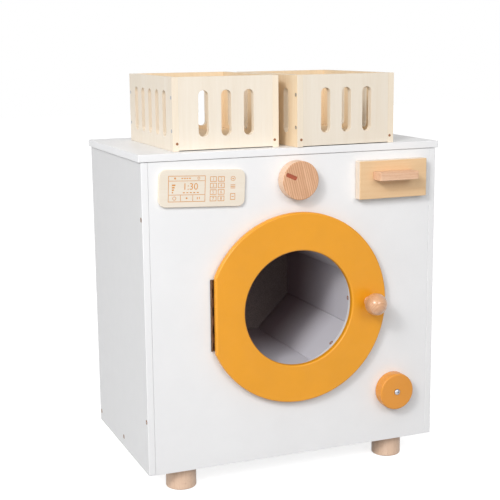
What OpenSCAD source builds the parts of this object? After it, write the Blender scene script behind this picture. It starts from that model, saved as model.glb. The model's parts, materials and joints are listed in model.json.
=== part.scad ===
// Toy washing machine: a painted cabinet on four turned feet, with a ring door on a knuckle hinge, an
// eight-sided drum on a rear axle, a programme dial, a lower knob, a soap drawer and two loose baskets.
// Millimetres, +Z up, the front towards -Y, the origin on the floor under the middle of the bounding box.

/* [Cabinet] */
// Width over the two side boards
width = 400; // [390:1:460]
// Depth of the side boards
depth = 235; // [215:1:300]
// Height of the side boards
side_h = 390; // [386:1:440]
// Thickness of the painted boards
board_t = 9; // [8:0.5:11]
// How far the top board stands out past each side board
top_over_x = 3; // [0:0.5:8]
// How far the top board stands out past the front and the back
top_over_y = 1.5; // [0:0.5:6]
// Height of the base board's underside above the cabinet's lower edge
base_up = 10; // [5:1:20]
// Height of the lower edge screws, and their distance from the upper edge
edge_screw_in = 69; // [40:1:100]
// Distance of the rear base screw from the back edge
rear_screw_in = 7; // [5:0.5:12]

/* [Feet] */
// Radius of a foot
foot_r = 19.5; // [14:0.5:24]
// Height of a foot that shows under the cabinet
foot_h = 30; // [15:1:60]
// Gap between a foot and the front board
foot_gap_y = 2; // [1:0.5:15]
// Gap between a foot and the side board
foot_gap_x = 23; // [5:1:40]
// Rounding of a foot's lower edge
foot_edge_r = 2; // [0.5:0.5:4]

/* [Door] */
// Radius of the hole in the door
door_hole_r = 74; // [66:0.5:78]
// How far the front board's hole is wider than the door's
board_hole_step = 5; // [0:0.5:6]
// Outer radius of the door ring
door_r = 122.5; // [116:0.5:125]
// Thickness of the door ring
door_t = 9; // [7:0.5:10]
// Depth of the door's centre below the side boards' upper edge
door_down = 193.5; // [192:0.5:200]
// How far the hinge side of the ring is cut back to a straight edge
door_flat = 10; // [7:0.5:14]
// Rounding of the ring's front edges
door_edge_r = 2.5; // [1:0.5:4]
// Radius of the magnet that keeps the door shut
magnet_r = 4; // [3:0.5:6]
// Angle of the magnet below the door's centre line
magnet_turn = 30; // [20:1:50]

/* [Door hinge] */
// Length of the hinge
hinge_l = 90.5; // [70:0.5:100]
// Number of knuckles
hinge_knuckles = 8; // [4:2:10]
// Radius of the knuckles
knuckle_r = 1.6; // [1.4:0.1:2]
// Thickness of a hinge leaf
leaf_t = 0.8; // [0.5:0.1:0.9]
// Width of a hinge leaf
leaf_w = 12; // [10:0.5:16]
// Radius of the hinge pin
hinge_pin_r = 0.8; // [0.6:0.05:0.9]
// Gap between the knuckles and the door's straight edge
hinge_gap = 0.4; // [0.3:0.1:1]
// Number of screws in each leaf
hinge_screws = 4; // [2:1:5]

/* [Door knob] */
// Radius of the ball
ball_r = 14.3; // [12:0.1:18]
// Length of neck between the ring and the ball's near side
neck_show = 4.2; // [1:0.1:6]
// Radius of the neck
neck_r = 7; // [5:0.5:9]

/* [Dial and lower knob] */
// Radius of the dial
dial_r = 24.3; // [18:0.1:25]
// Thickness of the dial
dial_t = 16; // [14:0.5:20]
// Depth of the dial's centre below the front board's upper edge
dial_down = 30.7; // [28:0.1:36]
// Length of the inlaid pointer
pointer_l = 15.4; // [8:0.1:17]
// Width of the inlaid pointer
pointer_w = 5.2; // [4:0.1:6]
// Rounding of the pointer's corners
pointer_r = 1.6; // [0.8:0.2:1.8]
// Distance of the pointer's end from the dial's edge
pointer_in = 2.8; // [2:0.1:4]
// Depth of the inlaid pointer
pointer_deep = 1; // [0.5:0.25:2]
// Direction in which the pointer looks at rest, from +X towards +Z
pointer_turn = 156; // [0:1:360]
// Radius of the lower knob
lower_r = 24.4; // [18:0.1:28]
// Thickness of the lower knob
lower_t = 16; // [12:0.5:20]
// Distance of the lower knob's centre from the cabinet's side
lower_in = 60.8; // [45:0.1:64]
// Height of the lower knob's centre above the cabinet's lower edge
lower_up = 70.2; // [50:0.1:76]
// Rounding of the front edge of both
disc_edge_r = 1.5; // [0.5:0.5:3]

/* [Drawer] */
// Width of the drawer's front
drawer_w = 97; // [70:1:110]
// Height of the drawer's front
drawer_h = 49; // [40:1:52]
// Thickness of the drawer's front
drawer_t = 12; // [8:0.5:15]
// Distance of the drawer's front from the cabinet's side
drawer_in = 20; // [18:0.5:40]
// Distance of the drawer's front from the front board's upper edge
drawer_down = 11.5; // [10:0.5:14]
// How far the drawer's front laps over its hole
drawer_lap = 6; // [4:0.5:8]
// Length of the drawer's sides
drawer_l = 100; // [60:1:150]
// Thickness of the drawer's sides and back
drawer_wall = 5; // [3:0.5:7]
// Thickness of the drawer's floor
drawer_floor_t = 4; // [3:0.5:5]
// How far the drawer's back stands up behind the front board, to stop it
drawer_stop = 4; // [2:0.5:6]
// Width of the handle bar
handle_w = 54.5; // [40:0.5:68]
// Height of the handle bar
handle_h = 10.5; // [7:0.5:14]
// How far the handle bar stands out
handle_out = 20; // [12:0.5:26]
// How far left of the middle the handle bar sits
handle_off_x = 2; // [0:0.5:4]
// How far above the middle the handle bar's underside lies
handle_off_z = 0.5; // [-4:0.5:4]

/* [Display plate] */
// Width of the plate
display_w = 110; // [80:1:130]
// Height of the plate
display_h = 45.2; // [30:0.1:48]
// Thickness of the plate
display_t = 4; // [2:0.5:6]
// Corner radius of the plate
display_r = 9; // [4:0.5:14]
// Distance of the plate from the cabinet's side
display_in = 20.5; // [14:0.5:30]
// Distance of the plate from the front board's upper edge
display_down = 11.7; // [8:0.1:16]
// How far the plate is turned clockwise from level
display_turn = 2.4; // [0:0.1:4]

/* [Drum] */
// Number of staves
drum_sides = 8; // [6:2:10]
// How far the staves' inner faces lie outside the door hole
drum_step = 8; // [4:0.5:10]
// Thickness of a stave
stave_t = 9; // [6:0.5:10]
// Gap between the front board and the drum
drum_front_gap = 2; // [1:0.5:5]
// Width of the front ring along the axle
drum_ring_w = 12; // [8:0.5:20]
// How far the ring and the back disc reach past the staves' corners
drum_rim = 8; // [5:0.5:9]
// Thickness of the back disc
drum_back_t = 9; // [6:0.5:12]
// Radius of the axle bolt
axle_r = 5; // [3:0.5:6]
// Wall of the bearing bush
bush_wall = 3; // [1.5:0.5:5]
// Length of the spacer between the drum and the back board
spacer_l = 4; // [2:0.5:8]

/* [Baskets] */
// Width of a basket
basket_w = 138.5; // [110:0.5:148]
// Depth of a basket
basket_d = 180; // [140:1:190]
// Height of a basket
basket_h = 88.5; // [70:0.5:110]
// Thickness of a basket's walls
basket_t = 8; // [5:0.5:10]
// Thickness of a basket's floor
basket_floor_t = 6; // [4:0.5:8]
// Height of a basket's floor above what it stands on
basket_floor_up = 6; // [2:0.5:12]
// Gap under the front and back walls
basket_wall_up = 1; // [0.5:0.5:2]
// Width of a slot
slot_w = 13; // [8:0.5:18]
// Height of a slot
slot_h = 56; // [30:1:60]
// Distance from slot to slot
slot_pitch = 29.5; // [22:0.5:30]
// Slots in a front or back wall
front_slots = 3; // [1:1:4]
// Slots in a side wall
side_slots = 5; // [1:1:5]
// Distance of the left basket from the cabinet's side
basket_left_in = 45.8; // [10:0.1:60]
// Front of the left basket behind the front board's face
basket_left_y = 16.2; // [0:0.1:30]
// Gap between the two baskets at their front corners
basket_gap = 16.7; // [14:0.1:30]
// Left front corner of the right basket behind the front board's face
basket_right_y = -3; // [-4:0.1:20]
// How far the right basket is turned, anticlockwise from above
basket_right_turn = 3; // [0:0.5:4]

/* [Fits and fasteners] */
// Radial gap between a shaft or screw and its hole
fit = 0.05; // [0.02:0.01:0.1]
// Gap between faces that move on each other
rest_gap = 0.2; // [0.1:0.05:0.3]
// Gap around the drawer in its hole
drawer_gap = 0.5; // [0.3:0.1:1]
// Joint line between neighbouring staves
stave_joint = 0.2; // [0.1:0.05:0.4]
// Radius of the assembly screws
screw_r = 1.7; // [1.2:0.1:2]
// Radius of the assembly screws' heads
screw_head_r = 3; // [2.5:0.1:3.5]
// Length of the assembly screws
screw_l = 28; // [20:1:35]
// Radius of the small screws
small_r = 1.2; // [0.9:0.1:1.3]
// Radius of the small screws' heads
small_head_r = 1.9; // [1.7:0.1:2]
// Radius of the dowels
dowel_r = 2.5; // [2:0.25:3]
// Length of the dowels
dowel_l = 20; // [15:1:26]
// Depth of a dowel in the face of a board
dowel_face = 6; // [4:0.5:7]
// Radius of the dial's bolt
dial_bolt_r = 2.5; // [2:0.25:3]
// Radius of the lower knob's bolt
lower_bolt_r = 2; // [1.5:0.25:3]
// Thickness of a washer
washer_t = 1; // [0.5:0.1:2]

/* [Hidden] */
$fn = 64;

WHITE = [0.93, 0.93, 0.94];
ORANGE = [0.91, 0.62, 0.26];
BEECH = [0.87, 0.70, 0.51];
PALE_WOOD = [0.94, 0.88, 0.78];
DARK_BOARD = [0.30, 0.26, 0.24];
BRONZE = [0.26, 0.18, 0.13];
STEEL = [0.72, 0.72, 0.74];
BROWN = [0.45, 0.28, 0.17];
NYLON = [0.88, 0.87, 0.83];

eps = 0.01;
over = 1;

// Heights
low_z = foot_h;
top_z = low_z + side_h;
deck_z = top_z + board_t;
base_z = low_z + base_up;
door_z = top_z - door_down;

// The front-to-back origin: the ball stands furthest forward, the axle bolt's end furthest back
door_back = 2 * knuckle_r;
door_face = door_back + door_t;
ball_y = door_face + neck_show + ball_r;
axle_washer_t = 1.5 * washer_t;
axle_nut_t = 1.2 * axle_r;
axle_end = axle_washer_t + axle_nut_t + 1;
front_reach = max(ball_y + ball_r, drawer_t + rest_gap + handle_out, dial_t + rest_gap, top_over_y);
back_reach = max(axle_end, top_over_y);
front_y = front_reach - (front_reach + depth + back_reach) / 2;

// Cabinet
inner_w = width - 2 * board_t;
foot_x = width / 2 - board_t - foot_gap_x - foot_r;
foot_y = board_t + foot_gap_y + foot_r;
foot_screw_l = 35;
foot_screw_r = 2;
foot_head_r = 4;
side_screw_places = [
    [board_t / 2, edge_screw_in], [board_t / 2, side_h - edge_screw_in],
    [(depth - board_t) / 2, base_up + board_t / 2], [depth - rear_screw_in, base_up + board_t / 2]
];
dowel_in = 30;

// Door and hinge
hinge_x = -(door_r - door_flat + hinge_gap + knuckle_r);
hinge_z = door_z - hinge_l / 2;
knuckle_pitch = hinge_l / hinge_knuckles;
knuckle_gap = 0.2;
leaf_x = hinge_x + knuckle_r + rest_gap;
hinge_screw_x = leaf_x + leaf_w * 0.55;
ring_mid_r = (door_hole_r + door_r) / 2;
magnet_in = board_t * 0.6;
strike_r = magnet_r + 1;
strike_t = 1.2;
ball_screw_r = 2;
ball_screw_head_r = 4;
ball_screw_l = door_t + neck_show + ball_r;

// Dial and lower knob
dial_z = top_z - dial_down;
dial_bolt_in = dial_t - 4;
nut_gap = rest_gap;
lower_x = width / 2 - lower_in;
lower_z = low_z + lower_up;
pan_head_r = 2 * lower_bolt_r;
pan_head_t = 1.2 * lower_bolt_r;

// Drawer
drawer_x = width / 2 - drawer_in - drawer_w;
drawer_z = top_z - drawer_down - drawer_h;
hole_x = drawer_x + drawer_lap;
hole_w = drawer_w - 2 * drawer_lap;
hole_z = drawer_z + drawer_lap;
hole_h = drawer_h - 2 * drawer_lap;
box_x = hole_x + drawer_gap;
box_w = hole_w - 2 * drawer_gap;
box_z = hole_z + rest_gap;
box_h = hole_h - 2 * drawer_gap;
handle_x = drawer_x + (drawer_w - handle_w) / 2 - handle_off_x;
handle_z = drawer_z + drawer_h / 2 + handle_off_z;
rail_t = board_t;
rail_ledge = drawer_wall + 4;
rail_l = drawer_l + 2 * drawer_wall;
nail_l = 18;
nail_r = 0.8;
nail_head_r = 1.4;
handle_screw_r = 1.8;
handle_head_r = 3.5;

// Drum
drum_in = door_hole_r + drum_step;
drum_out = drum_in + stave_t;
half_turn = 180 / drum_sides;
drum_r = drum_out / cos(half_turn) + drum_rim;
drum_front = board_t + drum_front_gap;
drum_rear = depth - board_t - spacer_l - drum_back_t;
axle_head_r = 2 * axle_r;
axle_head_t = 0.7 * axle_r;
drum_screw_r = 1.5;
drum_head_r = 3;
drum_screw_grip = 16;
drum_ring_grip = 7;

// Baskets
basket_left_x = basket_left_in - width / 2;
basket_right_x = basket_left_x + basket_w + basket_gap;
basket_screw_r = 1.3;
basket_head_r = 2.3;
basket_screw_l = 22;
basket_screw_rise = 20;
plug_r = 1.8;
plug_l = 10;
plug_in = 5.5;
plug_up = 9;

// Helpers

// Points of an arc
function arc(x, y, r, from, to, steps = 5) =
    [for (i = [0:steps]) let (a = from + (to - from) * i / steps) [x + r * cos(a), y + r * sin(a)]];

// Moves to x, to y behind the front board's face and to height z
module at(x, y, z) translate([x, front_y + y, z]) children();

// Turns +Z to the back
module backwards() rotate([-90, 0, 0]) children();

// Turns +Z to the front
module forwards() rotate([90, 0, 0]) children();

// Turns +Z inwards from the left (-1) or the right (1) side
module inwards(side) rotate([0, -90 * side, 0]) children();

// A board from its low corner, y counted from the front board's face
module board(x, y, z, size) at(x, y, z) cube(size);

// A countersunk screw that points along +Z from a head flush with z = 0; grow makes its hole
module screw(l, r, head_r, grow = 0) {
    cylinder(h = head_r - r, r1 = head_r + grow, r2 = r + grow);
    cylinder(h = l + grow, r = r + grow);
    if (grow > 0) translate([0, 0, -over]) cylinder(h = over + eps, r = head_r + grow);
}

// A rod along +Z, lengthened at both ends where it cuts a hole
module rod(l, r, grow = 0) translate([0, 0, -grow]) cylinder(h = l + 2 * grow, r = r + grow);

// A tube along +Z
module tube(l, r, bore_r) difference() {
    cylinder(h = l, r = r);
    translate([0, 0, -over]) cylinder(h = l + 2 * over, r = bore_r);
}

// A hexagon nut along +Z for a shaft of radius r
module hex_nut(h, r) difference() {
    cylinder(h = h, r = 1.9 * r, $fn = 6);
    translate([0, 0, -over]) cylinder(h = h + 2 * over, r = r + fit);
}

// A disc with its face at z = h and a rounded edge round it
module rounded_disc(r, h, edge_r) rotate_extrude()
    polygon(concat([[0, 0], [r, 0]], arc(r - edge_r, h - edge_r, edge_r, 0, 90), [[0, h]]));

// The screws and dowels that join the cabinet's boards; grow makes their holes

module side_screw_set(side, grow = 0)
    for (p = side_screw_places)
        at(side * width / 2, p[0], low_z + p[1]) inwards(side) screw(screw_l, screw_r, screw_head_r, grow);

module foot_screw_set(grow = 0)
    for (side = [-1, 1], y = [foot_y, depth - foot_y])
        at(side * foot_x, y, base_z + board_t) rotate([180, 0, 0])
            screw(foot_screw_l, foot_screw_r, foot_head_r, grow);

module side_dowels(grow = 0)
    for (side = [-1, 1], y = [dowel_in, depth / 2, depth - dowel_in])
        at(side * (width - board_t) / 2, y, top_z - dowel_l + dowel_face) rod(dowel_l, dowel_r, grow);

module rail_dowels(grow = 0)
    for (x = [hole_x - rail_t / 2, hole_x + hole_w + rail_t / 2], y = [dowel_in, rail_l])
        at(x, y - dowel_r, top_z - dowel_l + dowel_face) rod(dowel_l, dowel_r, grow);

module back_dowels(grow = 0)
    for (side = [-1, 1], z = [edge_screw_in, side_h - edge_screw_in])
        at(side * (inner_w / 2 + dowel_face), depth - board_t / 2, low_z + z)
            inwards(side) rod(dowel_l, dowel_r, grow);

module hinge_screw_set(grow = 0)
    for (i = [0:hinge_screws - 1])
        translate([hinge_screw_x, 0, hinge_z + hinge_l * (i + 0.5) / hinge_screws]) children();

module magnet_place() at(
    ring_mid_r * cos(magnet_turn), 0, door_z - ring_mid_r * sin(magnet_turn)
) children();

// Cabinet

module side_panel(side) color(WHITE) difference() {
    board(side * width / 2 - (side > 0 ? board_t : 0), 0, low_z, [board_t, depth, side_h]);
    side_screw_set(side, fit);
    side_dowels(fit);
    back_dowels(fit);
}
module side_panel_left() side_panel(-1);
module side_panel_right() side_panel(1);

module front_panel() color(WHITE) difference() {
    board(-inner_w / 2, 0, low_z, [inner_w, board_t, side_h]);
    at(0, -over, door_z) backwards() cylinder(h = board_t + 2 * over, r = door_hole_r + board_hole_step, $fn = 128);
    board(hole_x, -over, hole_z, [hole_w, board_t + 2 * over, hole_h]);
    at(0, -over, dial_z) backwards() cylinder(h = board_t + 2 * over, r = dial_bolt_r + fit);
    at(lower_x, -over, lower_z) backwards() cylinder(h = board_t + 2 * over, r = lower_bolt_r + fit);
    magnet_place() backwards() translate([0, 0, -over]) cylinder(h = magnet_in + over, r = magnet_r + fit);
    at(0, -leaf_t, 0) hinge_screw_set() backwards() screw(board_t - 1, small_r, small_head_r, fit);
    side_screw_set(-1, fit);
    side_screw_set(1, fit);
}

module top_panel() color(WHITE) difference() {
    board(-width / 2 - top_over_x, -top_over_y, top_z,
          [width + 2 * top_over_x, depth + 2 * top_over_y, board_t]);
    side_dowels(fit);
    rail_dowels(fit);
}

module base_panel() color(WHITE) difference() {
    board(-inner_w / 2, board_t, base_z, [inner_w, depth - board_t, board_t]);
    foot_screw_set(fit);
    side_screw_set(-1, fit);
    side_screw_set(1, fit);
}

module back_panel() color(WHITE) difference() {
    board(-inner_w / 2, depth - board_t, base_z + board_t, [inner_w, board_t, side_h - base_up - board_t]);
    at(0, depth - board_t - over, door_z) backwards() cylinder(h = board_t + 2 * over, r = axle_r + fit);
    back_dowels(fit);
}

module foot(side, y) color(BEECH) difference() {
    at(side * foot_x, y, 0) rotate_extrude()
        polygon(concat([[0, 0]], arc(foot_r - foot_edge_r, foot_edge_r, foot_edge_r, -90, 0),
                       [[foot_r, base_z], [0, base_z]]));
    foot_screw_set(fit);
}
module foot_front_left() foot(-1, foot_y);
module foot_front_right() foot(1, foot_y);
module foot_back_left() foot(-1, depth - foot_y);
module foot_back_right() foot(1, depth - foot_y);

module foot_screws() color(STEEL) foot_screw_set();

module side_screws() color(BROWN) {
    side_screw_set(-1);
    side_screw_set(1);
}

module panel_dowels() color(BEECH) {
    side_dowels();
    rail_dowels();
    back_dowels();
}

module display_plate() color(PALE_WOOD)
    at(-width / 2 + display_in + display_w / 2, 0, top_z - display_down - display_h / 2) forwards()
        rotate(-display_turn) linear_extrude(display_t) {
            inner = [display_w - 2 * display_r, display_h - 2 * display_r];
            translate([-display_w / 2, -inner[1] / 2]) square([display_w, inner[1]]);
            translate([-inner[0] / 2, -display_h / 2]) square([inner[0], display_h]);
            for (x = [-1, 1], z = [-1, 1]) translate([x * inner[0] / 2, z * inner[1] / 2]) circle(r = display_r);
        }

// Door hinge: the leaves lie one behind the other, each tangent to its side of the knuckles

// One leaf at depth y with every second knuckle, starting at the first or the second
module hinge_leaf(y, first) color(BRONZE) difference() {
    union() {
        board(leaf_x, y, hinge_z, [leaf_w, leaf_t, hinge_l]);
        for (i = [first:2:hinge_knuckles - 1]) {
            z = hinge_z + i * knuckle_pitch + knuckle_gap / 2;
            knuckle_l = knuckle_pitch - knuckle_gap;
            at(hinge_x, -knuckle_r, z) cylinder(h = knuckle_l, r = knuckle_r);
            board(hinge_x, y, z, [leaf_x - hinge_x + eps, leaf_t, knuckle_l]);
        }
    }
    at(hinge_x, -knuckle_r, hinge_z - over) cylinder(h = hinge_l + 2 * over, r = hinge_pin_r + fit);
    if (first == 0)
        at(0, -leaf_t, 0) hinge_screw_set() backwards() screw(board_t - 1, small_r, small_head_r, fit);
    else
        at(0, -door_back + leaf_t, 0) hinge_screw_set() forwards()
            screw(door_t - 1, small_r, small_head_r, fit);
}
module hinge_leaf_panel() hinge_leaf(-leaf_t, 0);
module hinge_leaf_door() hinge_leaf(-door_back, 1);

module hinge_pin() color(BRONZE)
    at(hinge_x, -knuckle_r, hinge_z - knuckle_gap) cylinder(h = hinge_l + 2 * knuckle_gap, r = hinge_pin_r);

module hinge_panel_screws() color(BRONZE)
    at(0, -leaf_t, 0) hinge_screw_set() backwards() screw(board_t - 1, small_r, small_head_r);

module hinge_door_screws() color(BRONZE)
    at(0, -door_back + leaf_t, 0) hinge_screw_set() forwards() screw(door_t - 1, small_r, small_head_r);

module door_magnet() color(STEEL)
    magnet_place() translate([0, -door_back + rest_gap, 0]) backwards()
        cylinder(h = door_back - rest_gap + magnet_in, r = magnet_r);

// Door

module door_ring() color(ORANGE) difference() {
    intersection() {
        at(0, -door_back, door_z) forwards() rotate_extrude($fn = 128)
            polygon(concat(
                [[door_hole_r, 0], [door_r, 0]],
                arc(door_r - door_edge_r, door_t - door_edge_r, door_edge_r, 0, 90),
                arc(door_hole_r + door_edge_r, door_t - door_edge_r, door_edge_r, 90, 180)));
        board(door_flat - door_r, -door_face - over, door_z - door_r - over,
              [2 * door_r, door_t + 2 * over, 2 * door_r + 2 * over]);
    }
    at(0, -door_back + leaf_t, 0) hinge_screw_set() forwards() screw(door_t - 1, small_r, small_head_r, fit);
    at(ring_mid_r, -door_back, door_z) forwards()
        screw(ball_screw_l, ball_screw_r, ball_screw_head_r, fit);
    magnet_place() translate([0, -door_back - strike_t, 0]) backwards()
        cylinder(h = strike_t + over, r = strike_r + fit);
}

module door_strike() color(STEEL)
    magnet_place() translate([0, -door_back - strike_t, 0]) backwards() cylinder(h = strike_t, r = strike_r);

module door_ball() color(BEECH) difference() {
    union() {
        at(ring_mid_r, -ball_y, door_z) sphere(r = ball_r);
        at(ring_mid_r, -door_face, door_z) forwards() cylinder(h = neck_show + ball_r, r = neck_r);
    }
    at(ring_mid_r, -door_back, door_z) forwards()
        screw(ball_screw_l, ball_screw_r, ball_screw_head_r, fit);
}

module door_ball_screw() color(STEEL)
    at(ring_mid_r, -door_back, door_z) forwards() screw(ball_screw_l, ball_screw_r, ball_screw_head_r);

// Dial

module dial_body() at(0, -rest_gap, dial_z) forwards() rounded_disc(dial_r, dial_t, disc_edge_r);

module pointer_slot() at(0, -rest_gap - dial_t + pointer_deep, dial_z) rotate([0, -pointer_turn, 0])
    forwards() translate([dial_r - pointer_in - pointer_l, -pointer_w / 2, 0])
        linear_extrude(pointer_deep + over) {
            translate([pointer_r, 0]) square([pointer_l - 2 * pointer_r, pointer_w]);
            translate([0, pointer_r]) square([pointer_l, pointer_w - 2 * pointer_r]);
            for (x = [pointer_r, pointer_l - pointer_r], z = [pointer_r, pointer_w - pointer_r])
                translate([x, z]) circle(r = pointer_r);
        }

module dial_disc() color(BEECH) difference() {
    dial_body();
    pointer_slot();
    at(0, -rest_gap - dial_bolt_in, dial_z) backwards() cylinder(h = dial_bolt_in + over, r = dial_bolt_r + fit);
}

module dial_pointer() color(BROWN) intersection() {
    dial_body();
    pointer_slot();
}

module dial_bolt() color(STEEL)
    at(0, -rest_gap - dial_bolt_in, dial_z) backwards()
        cylinder(h = dial_bolt_in + board_t + 2 * rest_gap + washer_t + 1.6 * dial_bolt_r + 1, r = dial_bolt_r);

module dial_nut() color(STEEL) at(0, board_t + nut_gap, dial_z) backwards() {
    tube(washer_t, 2.4 * dial_bolt_r, dial_bolt_r + fit);
    translate([0, 0, washer_t + nut_gap / 2]) hex_nut(1.6 * dial_bolt_r, dial_bolt_r);
}

// Lower knob, which turns on a bolt through the front board

module lower_knob() color(ORANGE) difference() {
    at(lower_x, -rest_gap, lower_z) forwards() rounded_disc(lower_r, lower_t, disc_edge_r);
    at(lower_x, over, lower_z) forwards() cylinder(h = lower_t + 2 * over, r = lower_bolt_r + fit);
    at(lower_x, -lower_t, lower_z) forwards() cylinder(h = pan_head_t + over, r = pan_head_r + 0.4);
}

module lower_knob_bolt() color(STEEL) difference() {
    at(lower_x, -lower_t - rest_gap, lower_z) union() {
        forwards() cylinder(h = pan_head_t, r = pan_head_r);
        backwards() cylinder(h = lower_t + rest_gap + board_t + washer_t + 1.6 * lower_bolt_r + 2, r = lower_bolt_r);
    }
    for (a = [0, 90])
        at(lower_x, -lower_t - rest_gap - pan_head_t, lower_z) rotate([0, a + 20, 0])
            cube([1.2 * pan_head_r, pan_head_t, 0.25 * pan_head_r], center = true);
}

module lower_knob_nut() color(STEEL) at(lower_x, board_t, lower_z) backwards() {
    tube(washer_t, 2.4 * lower_bolt_r, lower_bolt_r + fit);
    translate([0, 0, washer_t + nut_gap / 2]) hex_nut(1.6 * lower_bolt_r, lower_bolt_r);
}

// Drawer

module drawer_front() color(BEECH) difference() {
    board(drawer_x, -rest_gap - drawer_t, drawer_z, [drawer_w, drawer_t, drawer_h]);
    handle_screw_set(fit);
}

module handle_screw_set(grow = 0)
    for (x = [0.2, 0.8])
        at(handle_x + x * handle_w, -rest_gap, handle_z + handle_h / 2) forwards()
            screw(drawer_t + 0.6 * handle_out, handle_screw_r, handle_head_r, grow);

module drawer_handle() color(BEECH) difference() {
    board(handle_x, -rest_gap - drawer_t - handle_out, handle_z, [handle_w, handle_out, handle_h]);
    handle_screw_set(fit);
}

module handle_screws() color(STEEL) handle_screw_set();

module drawer_nail_set(grow = 0)
    for (x = [box_x + drawer_wall / 2, box_x + box_w - drawer_wall / 2], z = [0.3, 0.7])
        at(x, drawer_l + drawer_wall, box_z + z * box_h) forwards() screw(nail_l, nail_r, nail_head_r, grow);

module drawer_side(x) color(PALE_WOOD) difference() {
    board(x, -rest_gap, box_z, [drawer_wall, drawer_l + rest_gap, box_h]);
    drawer_nail_set(fit);
}
module drawer_side_left() drawer_side(box_x);
module drawer_side_right() drawer_side(box_x + box_w - drawer_wall);

module drawer_back() color(PALE_WOOD) difference() {
    board(box_x, drawer_l, box_z, [box_w, drawer_wall, hole_h + drawer_stop]);
    drawer_nail_set(fit);
}

module drawer_floor() color(PALE_WOOD)
    board(box_x + drawer_wall, -rest_gap, box_z, [box_w - 2 * drawer_wall, drawer_l + rest_gap, drawer_floor_t]);

module drawer_nails() color(STEEL) drawer_nail_set();

// A rail hangs from the top board and carries one side of the drawer on its ledge
module drawer_rail(side) color(PALE_WOOD) {
    face = side < 0 ? hole_x : hole_x + hole_w;
    difference() {
        union() {
            board(face - (side < 0 ? rail_t : 0), board_t, hole_z - rail_t, [rail_t, rail_l, top_z - hole_z + rail_t]);
            board(face - (side < 0 ? eps : rail_ledge), board_t, hole_z - rail_t,
                  [rail_ledge + eps, rail_l, rail_t]);
        }
        rail_dowels(fit);
    }
}
module drawer_rail_left() drawer_rail(-1);
module drawer_rail_right() drawer_rail(1);

// Drum, in a frame whose +Z runs back along the axle from the front board's face

module on_axle(y) at(0, y, door_z) backwards() children();

module drum_screw_set(grow = 0)
    for (i = [0:drum_sides - 1]) {
        on_axle(drum_front + drum_ring_w / 2) rotate(i * 360 / drum_sides) translate([drum_in, 0, 0])
            rotate([0, 90, 0]) screw(stave_t + drum_ring_grip, drum_screw_r, drum_head_r, grow);
        on_axle(drum_rear + drum_back_t) rotate(i * 360 / drum_sides)
            translate([drum_in + stave_t / 2, 0, 0]) rotate([180, 0, 0])
                screw(drum_back_t + drum_screw_grip, drum_screw_r, drum_head_r, grow);
    }

module drum_staves() color(WHITE) difference() {
    for (i = [0:drum_sides - 1])
        on_axle(drum_front) rotate(i * 360 / drum_sides) linear_extrude(drum_rear - drum_front) {
            in_half = drum_in * tan(half_turn) - stave_joint / 2;
            out_half = drum_out * tan(half_turn) - stave_joint / 2;
            polygon([[drum_in, -in_half], [drum_out, -out_half], [drum_out, out_half], [drum_in, in_half]]);
        }
    drum_screw_set(fit);
}

module drum_ring() color(WHITE) difference() {
    on_axle(drum_front) cylinder(h = drum_ring_w, r = drum_r, $fn = 128);
    on_axle(drum_front - over) rotate(half_turn)
        cylinder(h = drum_ring_w + 2 * over, r = drum_out / cos(half_turn), $fn = drum_sides);
    drum_screw_set(fit);
}

module drum_back() color(DARK_BOARD) difference() {
    on_axle(drum_rear) cylinder(h = drum_back_t, r = drum_r, $fn = 128);
    on_axle(drum_rear - over) cylinder(h = drum_back_t + 2 * over, r = axle_r + bush_wall);
    drum_screw_set(fit);
}

module drum_screws() color(BROWN) drum_screw_set();

module drum_bush() color(NYLON) on_axle(drum_rear) tube(drum_back_t, axle_r + bush_wall, axle_r + fit);

module axle_bolt() color(STEEL) {
    on_axle(drum_rear - rest_gap - axle_head_t) cylinder(h = axle_head_t, r = axle_head_r);
    on_axle(drum_rear - rest_gap - eps)
        cylinder(h = depth + axle_end - drum_rear + rest_gap + eps, r = axle_r);
}

module axle_hardware() color(STEEL) {
    on_axle(depth - board_t - spacer_l + rest_gap) tube(spacer_l - rest_gap, 2.2 * axle_r, axle_r + fit);
    on_axle(depth) tube(axle_washer_t, 2.2 * axle_r, axle_r + fit);
    on_axle(depth + axle_washer_t) hex_nut(axle_nut_t, axle_r);
}

// Baskets, each in its own frame with its left front corner on the deck as the origin

module left_basket() at(basket_left_x, basket_left_y, deck_z + rest_gap) children();
module right_basket() at(basket_right_x, basket_right_y, deck_z + rest_gap) rotate(basket_right_turn) children();

module basket_screw_set(grow = 0)
    for (side = [0, 1], y = [basket_t / 2, basket_d - basket_t / 2], rise = [-1, 1])
        translate([side * basket_w, y, basket_h / 2 + rise * basket_screw_rise]) inwards(2 * side - 1)
            screw(basket_screw_l, basket_screw_r, basket_head_r, grow);

// Plugs in the front and back edges of the side walls
module basket_plug_set(grow = 0)
    for (x = [plug_in, basket_w - plug_in]) {
        translate([x, 0, plug_up]) backwards() rod(plug_l, plug_r, grow);
        translate([x, basket_d, plug_up]) forwards() rod(plug_l, plug_r, grow);
    }

// A row of upright slots through a wall that stands in the X-Z plane, in a row l long
module slot_row(count, l)
    for (i = [0:count - 1])
        translate([l / 2 + (i - (count - 1) / 2) * slot_pitch, -over, basket_h / 2]) backwards()
            linear_extrude(basket_t + 2 * over) {
                half = (slot_h - slot_w) / 2;
                square([slot_w, 2 * half], center = true);
                for (y = [-half, half]) translate([0, y]) circle(r = slot_w / 2);
            }

module basket_end(y) color(PALE_WOOD) difference() {
    translate([basket_t, y, basket_wall_up])
        cube([basket_w - 2 * basket_t, basket_t, basket_h - basket_wall_up]);
    translate([0, y, 0]) slot_row(front_slots, basket_w);
    basket_screw_set(fit);
}

module basket_side(x) color(PALE_WOOD) difference() {
    translate([x, 0, 0]) cube([basket_t, basket_d, basket_h]);
    translate([x + basket_t, 0, 0]) rotate(90) slot_row(side_slots, basket_d);
    basket_screw_set(fit);
    basket_plug_set(fit);
}

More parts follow.
